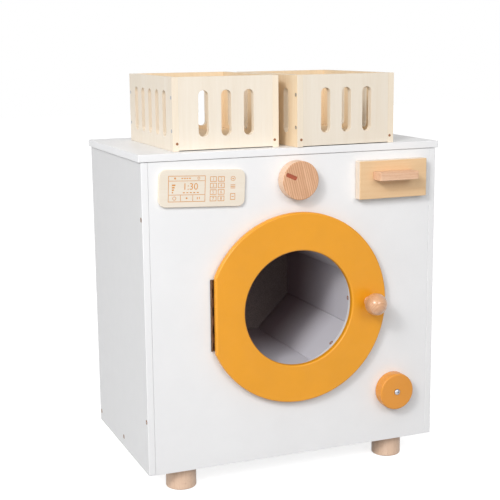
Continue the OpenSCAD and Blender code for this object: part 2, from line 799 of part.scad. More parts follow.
module basket_floor() color(PALE_WOOD) translate([basket_t, basket_t, basket_floor_up])
    cube([basket_w - 2 * basket_t, basket_d - 2 * basket_t, basket_floor_t]);

module basket_fasteners() color(STEEL) {
    basket_screw_set();
    basket_plug_set();
}

module basket_left_front() left_basket() basket_end(0);
module basket_left_back() left_basket() basket_end(basket_d - basket_t);
module basket_left_side_a() left_basket() basket_side(0);
module basket_left_side_b() left_basket() basket_side(basket_w - basket_t);
module basket_left_floor() left_basket() basket_floor();
module basket_left_fasteners() left_basket() basket_fasteners();
module basket_right_front() right_basket() basket_end(0);
module basket_right_back() right_basket() basket_end(basket_d - basket_t);
module basket_right_side_a() right_basket() basket_side(0);
module basket_right_side_b() right_basket() basket_side(basket_w - basket_t);
module basket_right_floor() right_basket() basket_floor();
module basket_right_fasteners() right_basket() basket_fasteners();

side_panel_left();
side_panel_right();
front_panel();
top_panel();
base_panel();
back_panel();
foot_front_left();
foot_front_right();
foot_back_left();
foot_back_right();
foot_screws();
side_screws();
panel_dowels();
display_plate();
hinge_leaf_panel();
hinge_pin();
hinge_panel_screws();
door_magnet();
drawer_rail_left();
drawer_rail_right();
lower_knob_bolt();
lower_knob_nut();
axle_bolt();
axle_hardware();
door_ring();
hinge_leaf_door();
hinge_door_screws();
door_ball();
door_ball_screw();
door_strike();
dial_disc();
dial_pointer();
dial_bolt();
dial_nut();
lower_knob();
drawer_front();
drawer_handle();
handle_screws();
drawer_side_left();
drawer_side_right();
drawer_back();
drawer_floor();
drawer_nails();
drum_staves();
drum_ring();
drum_back();
drum_screws();
drum_bush();
basket_left_front();
basket_left_back();
basket_left_side_a();
basket_left_side_b();
basket_left_floor();
basket_left_fasteners();
basket_right_front();
basket_right_back();
basket_right_side_a();
basket_right_side_b();
basket_right_floor();
basket_right_fasteners();
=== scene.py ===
"""Looks of a wooden play washing machine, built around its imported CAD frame.

Everything is in metres, in the frame of the CAD part: +Z up, the front towards -Y, the floor at z = 0.
"""

from __future__ import annotations

import json
import logging
import math
from collections.abc import Callable
from dataclasses import dataclass, field
from enum import Enum

import bpy
from mathutils import Matrix, Vector

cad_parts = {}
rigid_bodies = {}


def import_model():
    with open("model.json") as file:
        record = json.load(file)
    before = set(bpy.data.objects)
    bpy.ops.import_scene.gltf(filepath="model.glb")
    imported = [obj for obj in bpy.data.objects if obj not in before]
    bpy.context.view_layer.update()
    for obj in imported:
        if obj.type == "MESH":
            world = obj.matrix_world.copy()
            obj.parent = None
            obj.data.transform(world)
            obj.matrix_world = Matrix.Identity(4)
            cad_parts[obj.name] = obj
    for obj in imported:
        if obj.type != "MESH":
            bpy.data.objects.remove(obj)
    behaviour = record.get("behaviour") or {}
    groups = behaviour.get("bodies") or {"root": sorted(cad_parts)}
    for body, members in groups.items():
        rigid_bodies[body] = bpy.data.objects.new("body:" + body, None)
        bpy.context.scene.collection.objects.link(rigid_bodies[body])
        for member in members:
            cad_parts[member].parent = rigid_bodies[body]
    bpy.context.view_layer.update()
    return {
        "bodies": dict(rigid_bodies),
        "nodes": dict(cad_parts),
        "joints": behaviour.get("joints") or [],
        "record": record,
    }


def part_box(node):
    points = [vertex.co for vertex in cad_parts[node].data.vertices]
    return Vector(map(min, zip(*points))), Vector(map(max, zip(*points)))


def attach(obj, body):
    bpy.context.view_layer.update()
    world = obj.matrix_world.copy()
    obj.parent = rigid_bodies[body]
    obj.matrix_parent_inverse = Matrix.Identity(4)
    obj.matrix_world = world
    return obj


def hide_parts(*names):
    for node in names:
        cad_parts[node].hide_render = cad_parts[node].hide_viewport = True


LOG = logging.getLogger("washing_machine")
MM = 0.001
SHAPE_ANGLE = math.radians(38)

Thing = bpy.types.Object
Socket = bpy.types.NodeSocket
RGB = tuple[float, float, float]
Point = tuple[float, float, float]
Pair = tuple[float, float]
Section = list[Pair]

WELD = MM / 200
PARALLEL = 0.99
SQUARE = 0.9
FULL: Pair = (0.0, 1.0)
MOST: Pair = (0.3, 0.7)
INNER: Pair = (0.36, 0.64)


def tone(red: float, green: float, blue: float) -> RGB:
    """Turns a colour as a screen shows it into a linear one.

    Args:
        red: Red from 0 to 255.
        green: Green from 0 to 255.
        blue: Blue from 0 to 255.

    Returns:
        The linear colour, each part from 0 to 1.
    """

    def part(value: float) -> float:
        """Returns one part of the colour, made linear."""
        share = value / 255
        return share / 12.92 if share <= 0.04045 else ((share + 0.055) / 1.055) ** 2.4

    return part(red), part(green), part(blue)


def shaded(colour: RGB, share: float) -> RGB:
    """Returns a colour with every part times a share."""
    return tuple(part * share for part in colour)


def arc(centre: Pair, radii: Pair, start: float, end: float, steps: int) -> Section:
    """Works out an arc in the section of a turned piece.

    Args:
        centre: The centre's distance from the axis and its height.
        radii: The radius across and the radius upwards.
        start: The angle at its start, in degrees above straight outwards.
        end: The angle at its end.
        steps: The number of steps from one to the other.

    Returns:
        The points with both ends.
    """
    angles = [math.radians(start + (end - start) * i / steps) for i in range(steps + 1)]
    return [(centre[0] + radii[0] * math.cos(a), centre[1] + radii[1] * math.sin(a)) for a in angles]


def middle_of(node: str) -> Vector:
    """Returns the middle of a CAD node's box."""
    low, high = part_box(node)
    return (low + high) / 2


class Facing(Enum):
    """The way in which a piece's own +Z points once it is in place."""

    FRONT = ("X", math.pi / 2)
    BACK = ("X", -math.pi / 2)
    RIGHT = ("Y", math.pi / 2)
    LEFT = ("Y", -math.pi / 2)

    def matrix(self, place: Vector) -> Matrix:
        """Returns the matrix that turns a piece this way and moves its origin to a place."""
        axis, angle = self.value
        return Matrix.Translation(place) @ Matrix.Rotation(angle, 4, axis)


class Along(Enum):
    """A direction of grain or thickness."""

    X = 0
    Y = 1
    Z = 2

    def stretch(self, times: float) -> Point:
        """Returns the scale of a pattern that is longer in this direction."""
        return tuple(times if axis is self else 1.0 for axis in Along)


class HeadStyle(Enum):
    """How a screw's head ends."""

    FLAT = "flat"
    PAN = "pan"


class Bench:
    """The maker's bench: short calls for Blender's own modelling tools."""

    @staticmethod
    def pick(*objects: Thing) -> None:
        """Selects just these objects and makes the first one active."""
        if bpy.context.object and bpy.context.object.mode != "OBJECT":
            bpy.ops.object.mode_set(mode="OBJECT")
        bpy.ops.object.select_all(action="DESELECT")
        for thing in objects:
            thing.select_set(True)
        if objects:
            bpy.context.view_layer.objects.active = objects[0]

    @staticmethod
    def clear(thing: Thing, mode: str) -> None:
        """Clears a piece's selection and readies it for picking by VERT, EDGE or FACE."""
        Bench.pick(thing)
        bpy.ops.object.mode_set(mode="EDIT")
        bpy.ops.mesh.select_mode(type=mode)
        bpy.ops.mesh.select_all(action="DESELECT")
        bpy.ops.object.mode_set(mode="OBJECT")

    @staticmethod
    def settle(thing: Thing, matrix: Matrix | None = None) -> Thing:
        """Moves a piece by a matrix, if there is one, and puts its place into its mesh."""
        if matrix is not None:
            thing.matrix_world = matrix @ thing.matrix_world
        Bench.pick(thing)
        bpy.ops.object.transform_apply(location=True, rotation=True, scale=True)
        return thing

    @staticmethod
    def block(name: str, low: Vector, high: Vector) -> Thing:
        """Makes a box between its lowest and its highest corner."""
        Bench.pick()
        bpy.ops.mesh.primitive_cube_add(size=1, location=(low + high) / 2)
        box = bpy.context.object
        box.name = name
        box.scale = high - low
        return Bench.settle(box)

    @staticmethod
    def turned(name: str, profile: Section, matrix: Matrix, steps: int) -> Thing:
        """Turns a piece as on a lathe: a line is drawn point by point and spun about +Z.

        Args:
            name: The piece's name.
            profile: Radius and height of each point, from the middle round to the middle.
            matrix: Where the piece goes.
            steps: The number of sides.

        Returns:
            The turned piece.
        """
        Bench.pick()
        bpy.ops.mesh.primitive_plane_add(size=MM)
        piece = bpy.context.object
        piece.name = name
        bpy.ops.object.mode_set(mode="EDIT")
        bpy.ops.mesh.select_mode(type="VERT")
        bpy.ops.mesh.select_all(action="SELECT")
        bpy.ops.mesh.merge(type="CENTER")
        bpy.ops.transform.translate(value=(profile[0][0], 0, profile[0][1]))
        for start, end in zip(profile, profile[1:]):
            step = (end[0] - start[0], 0, end[1] - start[1])
            bpy.ops.mesh.extrude_region_move(TRANSFORM_OT_translate={"value": step})
        bpy.ops.mesh.select_all(action="SELECT")
        bpy.ops.mesh.spin(steps=steps, angle=2 * math.pi, center=(0, 0, 0), axis=(0, 0, 1))
        bpy.ops.mesh.select_all(action="SELECT")
        bpy.ops.mesh.remove_doubles(threshold=WELD)
        bpy.ops.mesh.normals_make_consistent(inside=False)
        bpy.ops.object.mode_set(mode="OBJECT")
        return Bench.settle(piece, matrix)

    @staticmethod
    def rod(name: str, radius: float, length: float, matrix: Matrix, sides: int) -> Thing:
        """Makes a plain rod that starts at the matrix's place and runs along its +Z.

        Args:
            name: The piece's name.
            radius: The rod's radius.
            length: Its length.
            matrix: Where it goes.
            sides: The number of sides.

        Returns:
            The rod.
        """
        Bench.pick()
        bpy.ops.mesh.primitive_cylinder_add(
            vertices=sides, radius=radius, depth=length, location=(0, 0, length / 2)
        )
        rod = bpy.context.object
        rod.name = name
        return Bench.settle(rod, matrix)

    @staticmethod
    def apply(thing: Thing, kind: str, **settings: object) -> Thing:
        """Adds a modifier, sets it up and applies it.

        Args:
            thing: The piece.
            kind: The modifier's type.
            **settings: Its settings.

        Returns:
            The piece.
        """
        Bench.pick(thing)
        modifier = thing.modifiers.new(kind.title(), kind)
        for key, value in settings.items():
            setattr(modifier, key, value)
        bpy.ops.object.modifier_apply(modifier=modifier.name)
        return thing

    @staticmethod
    def cut(thing: Thing, *tools: Thing) -> Thing:
        """Cuts tools out of a piece, clears the tools away and returns the piece."""
        for tool in tools:
            Bench.apply(thing, "BOOLEAN", operation="DIFFERENCE", solver="EXACT", object=tool)
            bpy.data.objects.remove(tool)
        return thing

    @staticmethod
    def ease(thing: Thing, width: float, segments: int = 3) -> Thing:
        """Rounds every sharp edge and gives the piece its smooth shading."""
        return Bench.shade(Bench.round_edges(thing, width, segments))

    @staticmethod
    def round_edges(thing: Thing, width: float, segments: int = 3) -> Thing:
        """Rounds every sharp edge of a piece with so many faces across the rounding."""
        return Bench.apply(
            thing,
            "BEVEL",
            width=width,
            segments=segments,
            limit_method="ANGLE",
            angle_limit=SHAPE_ANGLE,
            use_clamp_overlap=True,
            miter_outer="MITER_ARC",
        )

    @staticmethod
    def shade(thing: Thing) -> Thing:
        """Gives a piece smooth shading with crisp edges."""
        Bench.pick(thing)
        bpy.ops.object.shade_smooth_by_angle(angle=SHAPE_ANGLE)
        return Bench.apply(thing, "WEIGHTED_NORMAL", mode="FACE_AREA", weight=90, keep_sharp=True)

    @staticmethod
    def round_corners(thing: Thing, along: Along, radius: float, segments: int = 10) -> Thing:
        """Rounds the edges of a box that run in one direction.

        Args:
            thing: The box.
            along: The direction of the edges.
            radius: The corner radius.
            segments: Faces round each corner.

        Returns:
            The box.
        """
        Bench.clear(thing, "EDGE")
        mesh = thing.data
        for edge in mesh.edges:
            ends = [mesh.vertices[i].co for i in edge.vertices]
            run = ends[1] - ends[0]
            edge.select = abs(run[along.value]) > PARALLEL * run.length
        bpy.ops.object.mode_set(mode="EDIT")
        bpy.ops.mesh.bevel(offset=radius, segments=segments, affect="EDGES", clamp_overlap=False)
        bpy.ops.object.mode_set(mode="OBJECT")
        return thing

    @staticmethod
    def flare(thing: Thing, chosen: Callable[[Vector], bool], scale: Point) -> None:
        """Makes one end of a piece wider or narrower.

        Args:
            thing: The piece.
            chosen: Tells from a corner's place whether it belongs to that end.
            scale: How many times wider the end becomes along each axis.
        """
        Bench.clear(thing, "VERT")
        for vertex in thing.data.vertices:
            vertex.select = chosen(vertex.co)
        bpy.ops.object.mode_set(mode="EDIT")
        bpy.ops.transform.resize(value=scale)
        bpy.ops.object.mode_set(mode="OBJECT")

    @staticmethod
    def repeat(name: str, first: Thing, places: list[Matrix]) -> Thing:
        """Copies a piece to many places, each with a mesh of its own, as one object.

        Args:
            name: The object's name.
            first: The piece, which is cleared away.
            places: Where each copy goes.

        Returns:
            The joined copies.
        """
        copies = []
        for place in places:
            Bench.pick(first)
            bpy.ops.object.duplicate()
            copies.append(Bench.settle(bpy.context.object, place))
        bpy.data.objects.remove(first)
        return Bench.join(name, copies)

    @staticmethod
    def join(name: str, pieces: list[Thing]) -> Thing:
        """Joins pieces into one object and names it."""
        Bench.pick(*pieces)
        if len(pieces) > 1:
            bpy.ops.object.join()
        joined = bpy.context.view_layer.objects.active
        joined.name = name
        return joined


class Graph:
    """The nodes of one material, with its shader and output ready."""

    def __init__(self, name: str) -> None:
        """Makes an empty material of this name with a Principled shader."""
        self.material = bpy.data.materials.new(name)
        self.material.use_nodes = True
        self.tree = self.material.node_tree
        self.tree.nodes.clear()
        self.shader = self.add("ShaderNodeBsdfPrincipled")
        output = self.add("ShaderNodeOutputMaterial")
        self.link(self.shader.outputs[0], output.inputs["Surface"])

    def add(
        self, kind: str, settings: dict[str, object] | None = None, **inputs: object
    ) -> bpy.types.Node:
        """Adds a node.

        Args:
            kind: The node's type.
            settings: Its properties.
            **inputs: Values or sockets for its inputs, with _ for a space in a name.

        Returns:
            The node.
        """
        node = self.tree.nodes.new(kind)
        for key, value in (settings or {}).items():
            setattr(node, key, value)
        self._fill(node, inputs)
        return node

    def set(self, **values: object) -> None:
        """Sets values of the shader, with _ for a space in a name."""
        self._fill(self.shader, values)

    def _fill(self, node: bpy.types.Node, values: dict[str, object]) -> None:
        """Gives a node's inputs their values, by name."""
        for key, value in values.items():
            self._give(node.inputs[key.replace("_", " ")], value)

    def _give(self, socket: Socket, value: object) -> None:
        """Links an input to another socket, or sets it to a plain value."""
        if isinstance(value, Socket):
            self.link(value, socket)
        else:
            socket.default_value = value

    def link(self, source: Socket, target: Socket) -> None:
        """Links two sockets."""
        self.tree.links.new(source, target)

    def place(
        self, stretch: Point = (1, 1, 1), turn: float = 0.0, lean: float = 0.0, of: str = "Object"
    ) -> Socket:
        """Gives the point on the piece, turned back and squeezed.

        Args:
            stretch: How many times longer the pattern is along each axis.
            turn: How far the piece is turned about +Z.
            lean: How far the pattern leans in the plane of the front.
            of: Object for the point itself, or Normal for the way that the surface looks.

        Returns:
            The socket with the point.
        """
        point = self.add("ShaderNodeTexCoord").outputs[of]
        inputs = {"Vector": point, "Rotation": (0, lean, turn), "Scale": stretch}
        return self.add("ShaderNodeMapping", {"vector_type": "TEXTURE"}, **inputs).outputs[0]

    def parts(self, point: Socket) -> bpy.types.NodeOutputs:
        """Takes a point apart into X, Y and Z."""
        return self.add("ShaderNodeSeparateXYZ", Vector=point).outputs

    def facing(self, axis: Along, turn: float = 0.0) -> Socket:
        """Gives how squarely the surface looks along an axis of the turned piece, from 0 to 1."""
        return self.math("ABSOLUTE", self.parts(self.place(turn=turn, of="Normal"))[axis.value])

    def noise(self, point: Socket, scale: float, detail: float = 3, rough: float = 0.5) -> Socket:
        """Adds a noise texture and returns its value."""
        node = self.add("ShaderNodeTexNoise", Vector=point, Scale=scale, Detail=detail, Roughness=rough)
        return node.outputs["Fac"]

    def spread(self, value: Socket, source: Pair, target: Pair = FULL) -> Socket:
        """Maps a value from one range to another and returns it, kept inside the target."""
        node = self.add("ShaderNodeMapRange", Value=value)
        for socket, number in zip(node.inputs[1:5], (*source, *target)):
            socket.default_value = number
        return node.outputs[0]

    def around(self, value: Socket, middle: float, less: float, more: float) -> Socket:
        """Lets a number wander with a noise, from less below its middle to more above it."""
        return self.spread(value, MOST, (middle - less, middle + more))

    def math(self, operation: str, left: Socket | float, right: Socket | float = 0.0) -> Socket:
        """Works out one value from two and returns it."""
        node = self.add("ShaderNodeMath", {"operation": operation})
        for socket, value in zip(node.inputs, (left, right)):
            self._give(socket, value)
        return node.outputs[0]

    def total(self, first: Socket, weight: float, second: Socket, other: float) -> Socket:
        """Adds up two values, each times its weight."""
        return self.math("ADD", self.math("MULTIPLY", first, weight), self.math("MULTIPLY", second, other))

    def mix(self, share: Socket, first: RGB | Socket, second: RGB | Socket) -> Socket:
        """Mixes two colours by a share and returns the mix."""
        node = self.add("ShaderNodeMix", {"data_type": "RGBA"})
        self.link(share, node.inputs[0])
        for socket, colour in zip(node.inputs[6:8], (first, second)):
            self._give(socket, (*colour, 1) if isinstance(colour, tuple) else colour)
        return node.outputs[2]

    def bump(self, height: Socket, depth: float, strength: float) -> None:
        """Lets a height stand out of the surface.

        Args:
            height: The height from 0 to 1.
            depth: The real depth for a height of 1.
            strength: How much of it shows.
        """
        node = self.add("ShaderNodeBump", Height=height, Distance=depth, Strength=strength)
        self.link(node.outputs[0], self.shader.inputs["Normal"])


@dataclass(frozen=True)
class Paint:
    """Sprayed satin paint.

    It may carry painted shade on the faces that look sideways, and painted shade that darkens it towards the
    back.
    """

    name: str
    colour: RGB
    roughness: float = 0.42
    cloud: float = 0.03
    peel: float = 0.5
    # Share of the colour kept on faces that look sideways along X: painted shade.
    painted_side_shade: float = 1.0
    # A darker colour mixed in towards the back, and the span along Y over which it comes in: painted shade.
    painted_depth_shade: RGB | None = None
    depth_shade_span: Pair = (0.0, 0.0)

    def build(self) -> bpy.types.Material:
        """Returns the material: faint clouds of tone, a fine orange peel and a soft gloss."""
        graph = Graph(self.name)
        point = graph.place()
        clouds = graph.spread(graph.noise(point, scale=14, detail=4, rough=0.6), (0.35, 0.65))
        colour = graph.mix(clouds, shaded(self.colour, 1 - self.cloud), self.colour)
        # Painted shade: faces that look sideways along X are darkened, standing in for the dimmer light on
        # the cabinet's sides.
        if self.painted_side_shade != 1:
            side = graph.spread(graph.facing(Along.X), (0.6, 0.9))
            colour = graph.mix(side, colour, shaded(self.colour, self.painted_side_shade))
        # Painted shade: the colour darkens towards the back of the piece along Y, standing in for the shade
        # deep inside the drum.
        if self.painted_depth_shade:
            back = graph.parts(point)[Along.Y.value]
            colour = graph.mix(graph.spread(back, self.depth_shade_span), colour, self.painted_depth_shade)
        gloss = graph.noise(point, scale=60, detail=5, rough=0.6)
        gloss = graph.around(gloss, self.roughness, less=0.05, more=0.06)
        graph.set(Base_Color=colour, Roughness=gloss)
        graph.bump(graph.noise(point, scale=900, detail=2), depth=0.06 * MM, strength=self.peel)
        return graph.material


@dataclass(frozen=True)
class Timber:
    """Solid wood with long grain, growth lines and short dark flecks, and at times a painted lighter rim on
    the sides that catch the light.
    """

    name: str
    light: RGB
    dark: RGB
    fleck: RGB
    grain: Along = Along.Z
    lean: float = 0.0
    rings: float = 230.0
    contrast: float = 0.6
    line_share: float = 0.35
    fleck_share: float = 0.25
    roughness: float = 0.45
    coat: float = 0.0
    # A lighter colour for the faces that do not look to the front: painted light.
    rim: RGB | None = None

    def build(self) -> bpy.types.Material:
        """Returns the material, whose grain runs in its own direction."""
        graph = Graph(self.name)
        point = graph.place(self.grain.stretch(16.0), lean=self.lean)
        streaks = graph.noise(point, scale=420, detail=5, rough=0.62)
        broad = graph.noise(point, scale=90)
        body = graph.spread(graph.total(streaks, 0.55, broad, 0.45), INNER)
        body = graph.total(body, 1.0, self._lines(graph, point, broad), self.line_share)
        half = self.contrast / 2
        wood = graph.mix(graph.spread(body, (0.0, 1.2), (0.5 - half, 0.5 + half)), self.light, self.dark)
        # Painted light: faces that do not look along Y, such as a turned rim or a board's ends, are mixed
        # towards the lighter rim colour, for the light that falls on them from the left.
        if self.rim:
            wood = graph.mix(graph.spread(graph.facing(Along.Y), (0.3, 0.75), (0.8, 0)), wood, self.rim)
        flecks = graph.noise(graph.place(self.grain.stretch(5.0)), scale=1500, detail=1, rough=0.4)
        flecks = graph.spread(flecks, (0.62, 0.7), (0, self.fleck_share))
        graph.set(
            Base_Color=graph.mix(flecks, wood, self.fleck),
            Roughness=graph.around(streaks, self.roughness, less=0.05, more=0.08),
            Coat_Weight=self.coat,
            Coat_Roughness=0.12,
        )
        graph.bump(graph.total(streaks, 1.0, flecks, -0.6), depth=0.08 * MM, strength=0.6)
        return graph.material

    def _lines(self, graph: Graph, point: Socket, broad: Socket) -> Socket:
        """Returns the growth lines, thin and bent by the broad tone."""
        parts = graph.parts(point)
        across = [parts[axis.value] for axis in Along if axis is not self.grain]
        run = graph.total(across[0], 1.0, across[1], 0.6)
        bent = graph.total(run, self.rings * 2 * math.pi, broad, 9)
        return graph.spread(graph.math("SINE", bent), (0.2, 1))


@dataclass(frozen=True)
class Plywood:
    """Pale sanded plywood, with faint grain on its faces and its plies on the edges."""

    name: str
    light: RGB
    dark: RGB
    thickness: Along
    grain: Along = Along.Z
    turn: float = 0.0
    ply: float = 1.6
    roughness: float = 0.55
    edge: RGB = tone(241, 229, 210)
    glue: RGB = tone(219, 190, 150)

    def build(self) -> bpy.types.Material:
        """Returns the material for a board of this thickness direction."""
        graph = Graph(self.name)
        point = graph.place(self.grain.stretch(18.0), self.turn)
        streaks = graph.noise(point, scale=300, detail=6, rough=0.65)
        broad = graph.noise(point, scale=45)
        face = graph.mix(graph.spread(graph.total(streaks, 0.5, broad, 0.5), INNER), self.light, self.dark)
        depth = graph.parts(graph.place(turn=self.turn))[self.thickness.value]
        wave = graph.math("SINE", graph.math("MULTIPLY", depth, math.pi / (self.ply * MM)))
        plies = graph.spread(graph.math("ABSOLUTE", wave), (0.0, 0.45), (0.85, 0))
        on_edge = graph.spread(graph.facing(self.thickness, self.turn), (0.5, 0.8), (1, 0))
        graph.set(
            Base_Color=graph.mix(on_edge, face, graph.mix(plies, self.edge, self.glue)),
            Roughness=graph.around(streaks, self.roughness, less=0.05, more=0.08),
        )
        graph.bump(streaks, depth=0.06 * MM, strength=0.6)
        return graph.material


@dataclass(frozen=True)
class Metal:
    """Plated steel with fine scratches and darker patches."""

    name: str
    colour: RGB
    roughness: float = 0.3
    tarnish: RGB | None = None

    def build(self) -> bpy.types.Material:
        """Returns the material."""
        graph = Graph(self.name)
        point = graph.place((1, 1, 6))
        patches = graph.noise(point, scale=700, detail=4, rough=0.6)
        second = self.tarnish or shaded(self.colour, 0.8)
        graph.set(
            Base_Color=graph.mix(graph.spread(patches, (0.4, 0.65)), self.colour, second),
            Metallic=1.0,
            Roughness=graph.around(patches, self.roughness, less=0.08, more=0.1),
        )
        graph.bump(graph.noise(point, scale=2600, detail=2), depth=0.02 * MM, strength=0.5)
        return graph.material


@dataclass(frozen=True)
class Fibre:
    """A dull pressed or moulded stuff, such as hardboard, nylon or a scorched line."""

    name: str
    colour: RGB
    second: RGB
    roughness: float = 0.7
    scale: float = 600.0

    def build(self) -> bpy.types.Material:
        """Returns the material."""
        graph = Graph(self.name)
        felt = graph.noise(graph.place(), self.scale, detail=5, rough=0.7)
        graph.set(
            Base_Color=graph.mix(graph.spread(felt, (0.35, 0.65)), self.colour, self.second),
            Roughness=graph.around(felt, self.roughness, less=0.05, more=0.05),
        )
        graph.bump(felt, depth=0.05 * MM, strength=0.7)
        return graph.material


Finish = Paint | Timber | Plywood | Metal | Fibre
BEECH_FLECK = tone(172, 116, 74)


class Sheet(Enum):
    """The light and the dark tone on the face of a plywood sheet; the warm sheet is a copy of the pale one
    that paints the warm shade inside the baskets and in the gap between them.
    """

    PALE = (tone(237, 227, 212), tone(232, 220, 202))
    WARM = (tone(238, 216, 184), tone(229, 204, 168))


class Finishes:
    """Every finish of the machine, each built the first time that a piece asks for it."""

    def __init__(self) -> None:
        """Lists the finishes."""
        self._made: dict[str, bpy.types.Material] = {}
        self.white = Paint("white_paint", tone(240, 240, 241))
        # The sides' paint carries painted shade: its sideways faces are darker than the front's.
        self.side_shaded_white = Paint("side_white_paint", tone(240, 240, 241), painted_side_shade=0.82)
        # The drum's paint darkens towards the back: painted shade for the dim inside of the drum.
        self.drum_white = Paint(
            "drum_white_paint",
            tone(215, 213, 220),
            roughness=0.5,
            painted_depth_shade=tone(138, 121, 125),
            depth_shade_span=(-0.045, 0.075),
        )
        self.orange = Paint("orange_paint", tone(237, 160, 28), roughness=0.36, cloud=0.06)
        self.knob_orange = Paint("knob_orange_paint", tone(228, 150, 50), roughness=0.34, cloud=0.06)
        self.foot = Timber("beech_foot", tone(238, 208, 184), tone(220, 185, 157), BEECH_FLECK, Along.Z)
        self.dial = Timber(
            "beech_dial",
            tone(230, 184, 148),
            tone(200, 148, 110),
            BEECH_FLECK,
            Along.Z,
            lean=math.radians(-14),
            rings=350,
            contrast=1.2,
            line_share=1.1,
            # The dial's rim is lighter: painted light on its turned side.
            rim=tone(234, 203, 175),
        )
        self.ball = Timber(
            "beech_ball",
            tone(226, 176, 132),
            tone(200, 144, 102),
            BEECH_FLECK,
            Along.X,
            rings=420,
            contrast=0.7,
            line_share=0.7,
            coat=0.7,
            roughness=0.3,
        )
        self.drawer = Timber(
            "beech_drawer",
            tone(236, 203, 160),
            tone(224, 185, 140),
            tone(196, 150, 104),
            Along.X,
            contrast=0.5,
            fleck_share=0.12,
            # The drawer front's ends and edges are lighter: painted light.
            rim=tone(234, 224, 211),
        )
        self.handle = Timber(
            "beech_handle",
            tone(243, 206, 174),
            tone(216, 168, 134),
            BEECH_FLECK,
            Along.X,
            rings=420,
            contrast=0.8,
        )
        self.pointer = Timber(
            "red_inlay", tone(182, 94, 62), tone(150, 68, 42), tone(116, 50, 30), Along.X, fleck_share=0.2
        )
        self.screw_lacquer = Fibre("screw_lacquer", tone(178, 130, 104), tone(150, 102, 78), roughness=0.45)
        self.hardboard = Fibre("hardboard", tone(126, 112, 108), tone(100, 88, 85))
        self.nylon = Fibre("nylon", tone(226, 224, 214), tone(214, 212, 202), roughness=0.45)
        self.scorch = Fibre("scorched_line", tone(226, 164, 76), tone(212, 146, 58), 0.8, 1800)
        self.plug = Timber("plug_wood", tone(166, 110, 68), tone(130, 82, 46), tone(96, 58, 32), Along.Z)
        self.bronze = Metal("bronze", tone(116, 88, 68), 0.4, tone(76, 56, 43))
        self.steel = Metal("zinc_steel", tone(176, 179, 186), 0.28)
        self.brown_steel = Metal("brown_screw", tone(150, 112, 84), 0.42, tone(112, 78, 54))

    def ply(
        self, thickness: Along, turn: float = 0.0, grain: Along = Along.Z, sheet: Sheet = Sheet.PALE
    ) -> Plywood:
        """Returns the plywood for a board, from its directions, its turn about +Z and its sheet."""
        name = f"{sheet.name}_ply_{thickness.name}_{grain.name}_{round(math.degrees(turn))}".lower()
        return Plywood(name, *sheet.value, thickness, grain, turn)

    def material(self, finish: Finish) -> bpy.types.Material:
        """Returns a finish's material, made once."""
        if finish.name not in self._made:
            self._made[finish.name] = finish.build()
        return self._made[finish.name]

    def dress(self, thing: Thing, *finishes: Finish) -> None:
        """Gives a piece its material slots in the order of the finishes."""
        thing.data.materials.clear()
        for finish in finishes:
            thing.data.materials.append(self.material(finish))


@dataclass(frozen=True)
class Datum:
    """The places that several sub-assemblies share, read from the CAD frame."""

    front_y: float
    low_z: float
    deck_z: float
    door_z: float

    @classmethod
    def from_frame(cls) -> Datum:
        """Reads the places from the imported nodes."""
        board, deck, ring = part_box("front_panel"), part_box("top_panel"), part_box("door_ring")
        return cls(board[0].y, board[0].z, deck[1].z, (ring[0].z + ring[1].z) / 2)

    def at(self, across: float, back: float, up: float) -> Vector:
        """Returns a point in millimetres across, behind the front's face and over its lower edge."""
        return Vector((across * MM, self.front_y + back * MM, self.low_z + up * MM))

    def by_door(self, across: float, back: float) -> Vector:
        """Returns a point at the door's height, in millimetres across and behind the front's face."""
        return Vector((across * MM, self.front_y + back * MM, self.door_z))


@dataclass
class Workshop:
    """What every sub-assembly works with: the shared places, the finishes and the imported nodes."""

    datum: Datum
    finishes: Finishes
    nodes: dict[str, Thing]
    made: list[str] = field(default_factory=list)

    def fit(self, piece: Thing, body: str, slot: str, finish: Finish | None, *nodes: str) -> None:
        """Dresses a finished piece and lets it ride on a body in place of its CAD nodes.

        Args:
            piece: The piece.
            body: The body that it rides on.
            slot: The record's material slot; not used.
            finish: Its finish, or None if it has materials of its own.
            *nodes: The CAD nodes that it stands for.
        """
        if finish:
            self.finishes.dress(piece, finish)
        if nodes:
            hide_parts(*nodes)
        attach(piece, body)
        self.made.append(piece.name)
        LOG.info("%s rides on %s: %d faces", piece.name, body, len(piece.data.polygons))

    def keep(self, finish: Finish, *nodes: str) -> None:
        """Gives CAD nodes that stay a better finish."""
        for name in nodes:
            self.finishes.dress(self.nodes[name], finish)
            LOG.info("%s keeps its CAD mesh", name)

    def board(
        self,
        node: str,
        body: str,
        slot: str,
        finish: Finish,
        ease: float = 0.8,
        tools: tuple[Thing, ...] = (),
        seam: float = 0.0,
    ) -> None:
        """Makes a board in the place of a CAD board, with its cuts and eased edges.

        Args:
            node: The CAD node, which gives size and place.
            body: The body that it rides on.
            slot: The record's material slot.
            finish: Its finish.
            ease: Width of the edge rounding in millimetres.
            tools: What is cut out of it.
            seam: How much lower its upper edge is sawn, in millimetres.
        """
        low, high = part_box(node)
        board = Bench.block(f"{node}_board", low, high - Vector((0, 0, seam * MM)))
        Bench.cut(board, *tools)
        Bench.ease(board, ease * MM)
        self.fit(board, body, slot, finish, node)


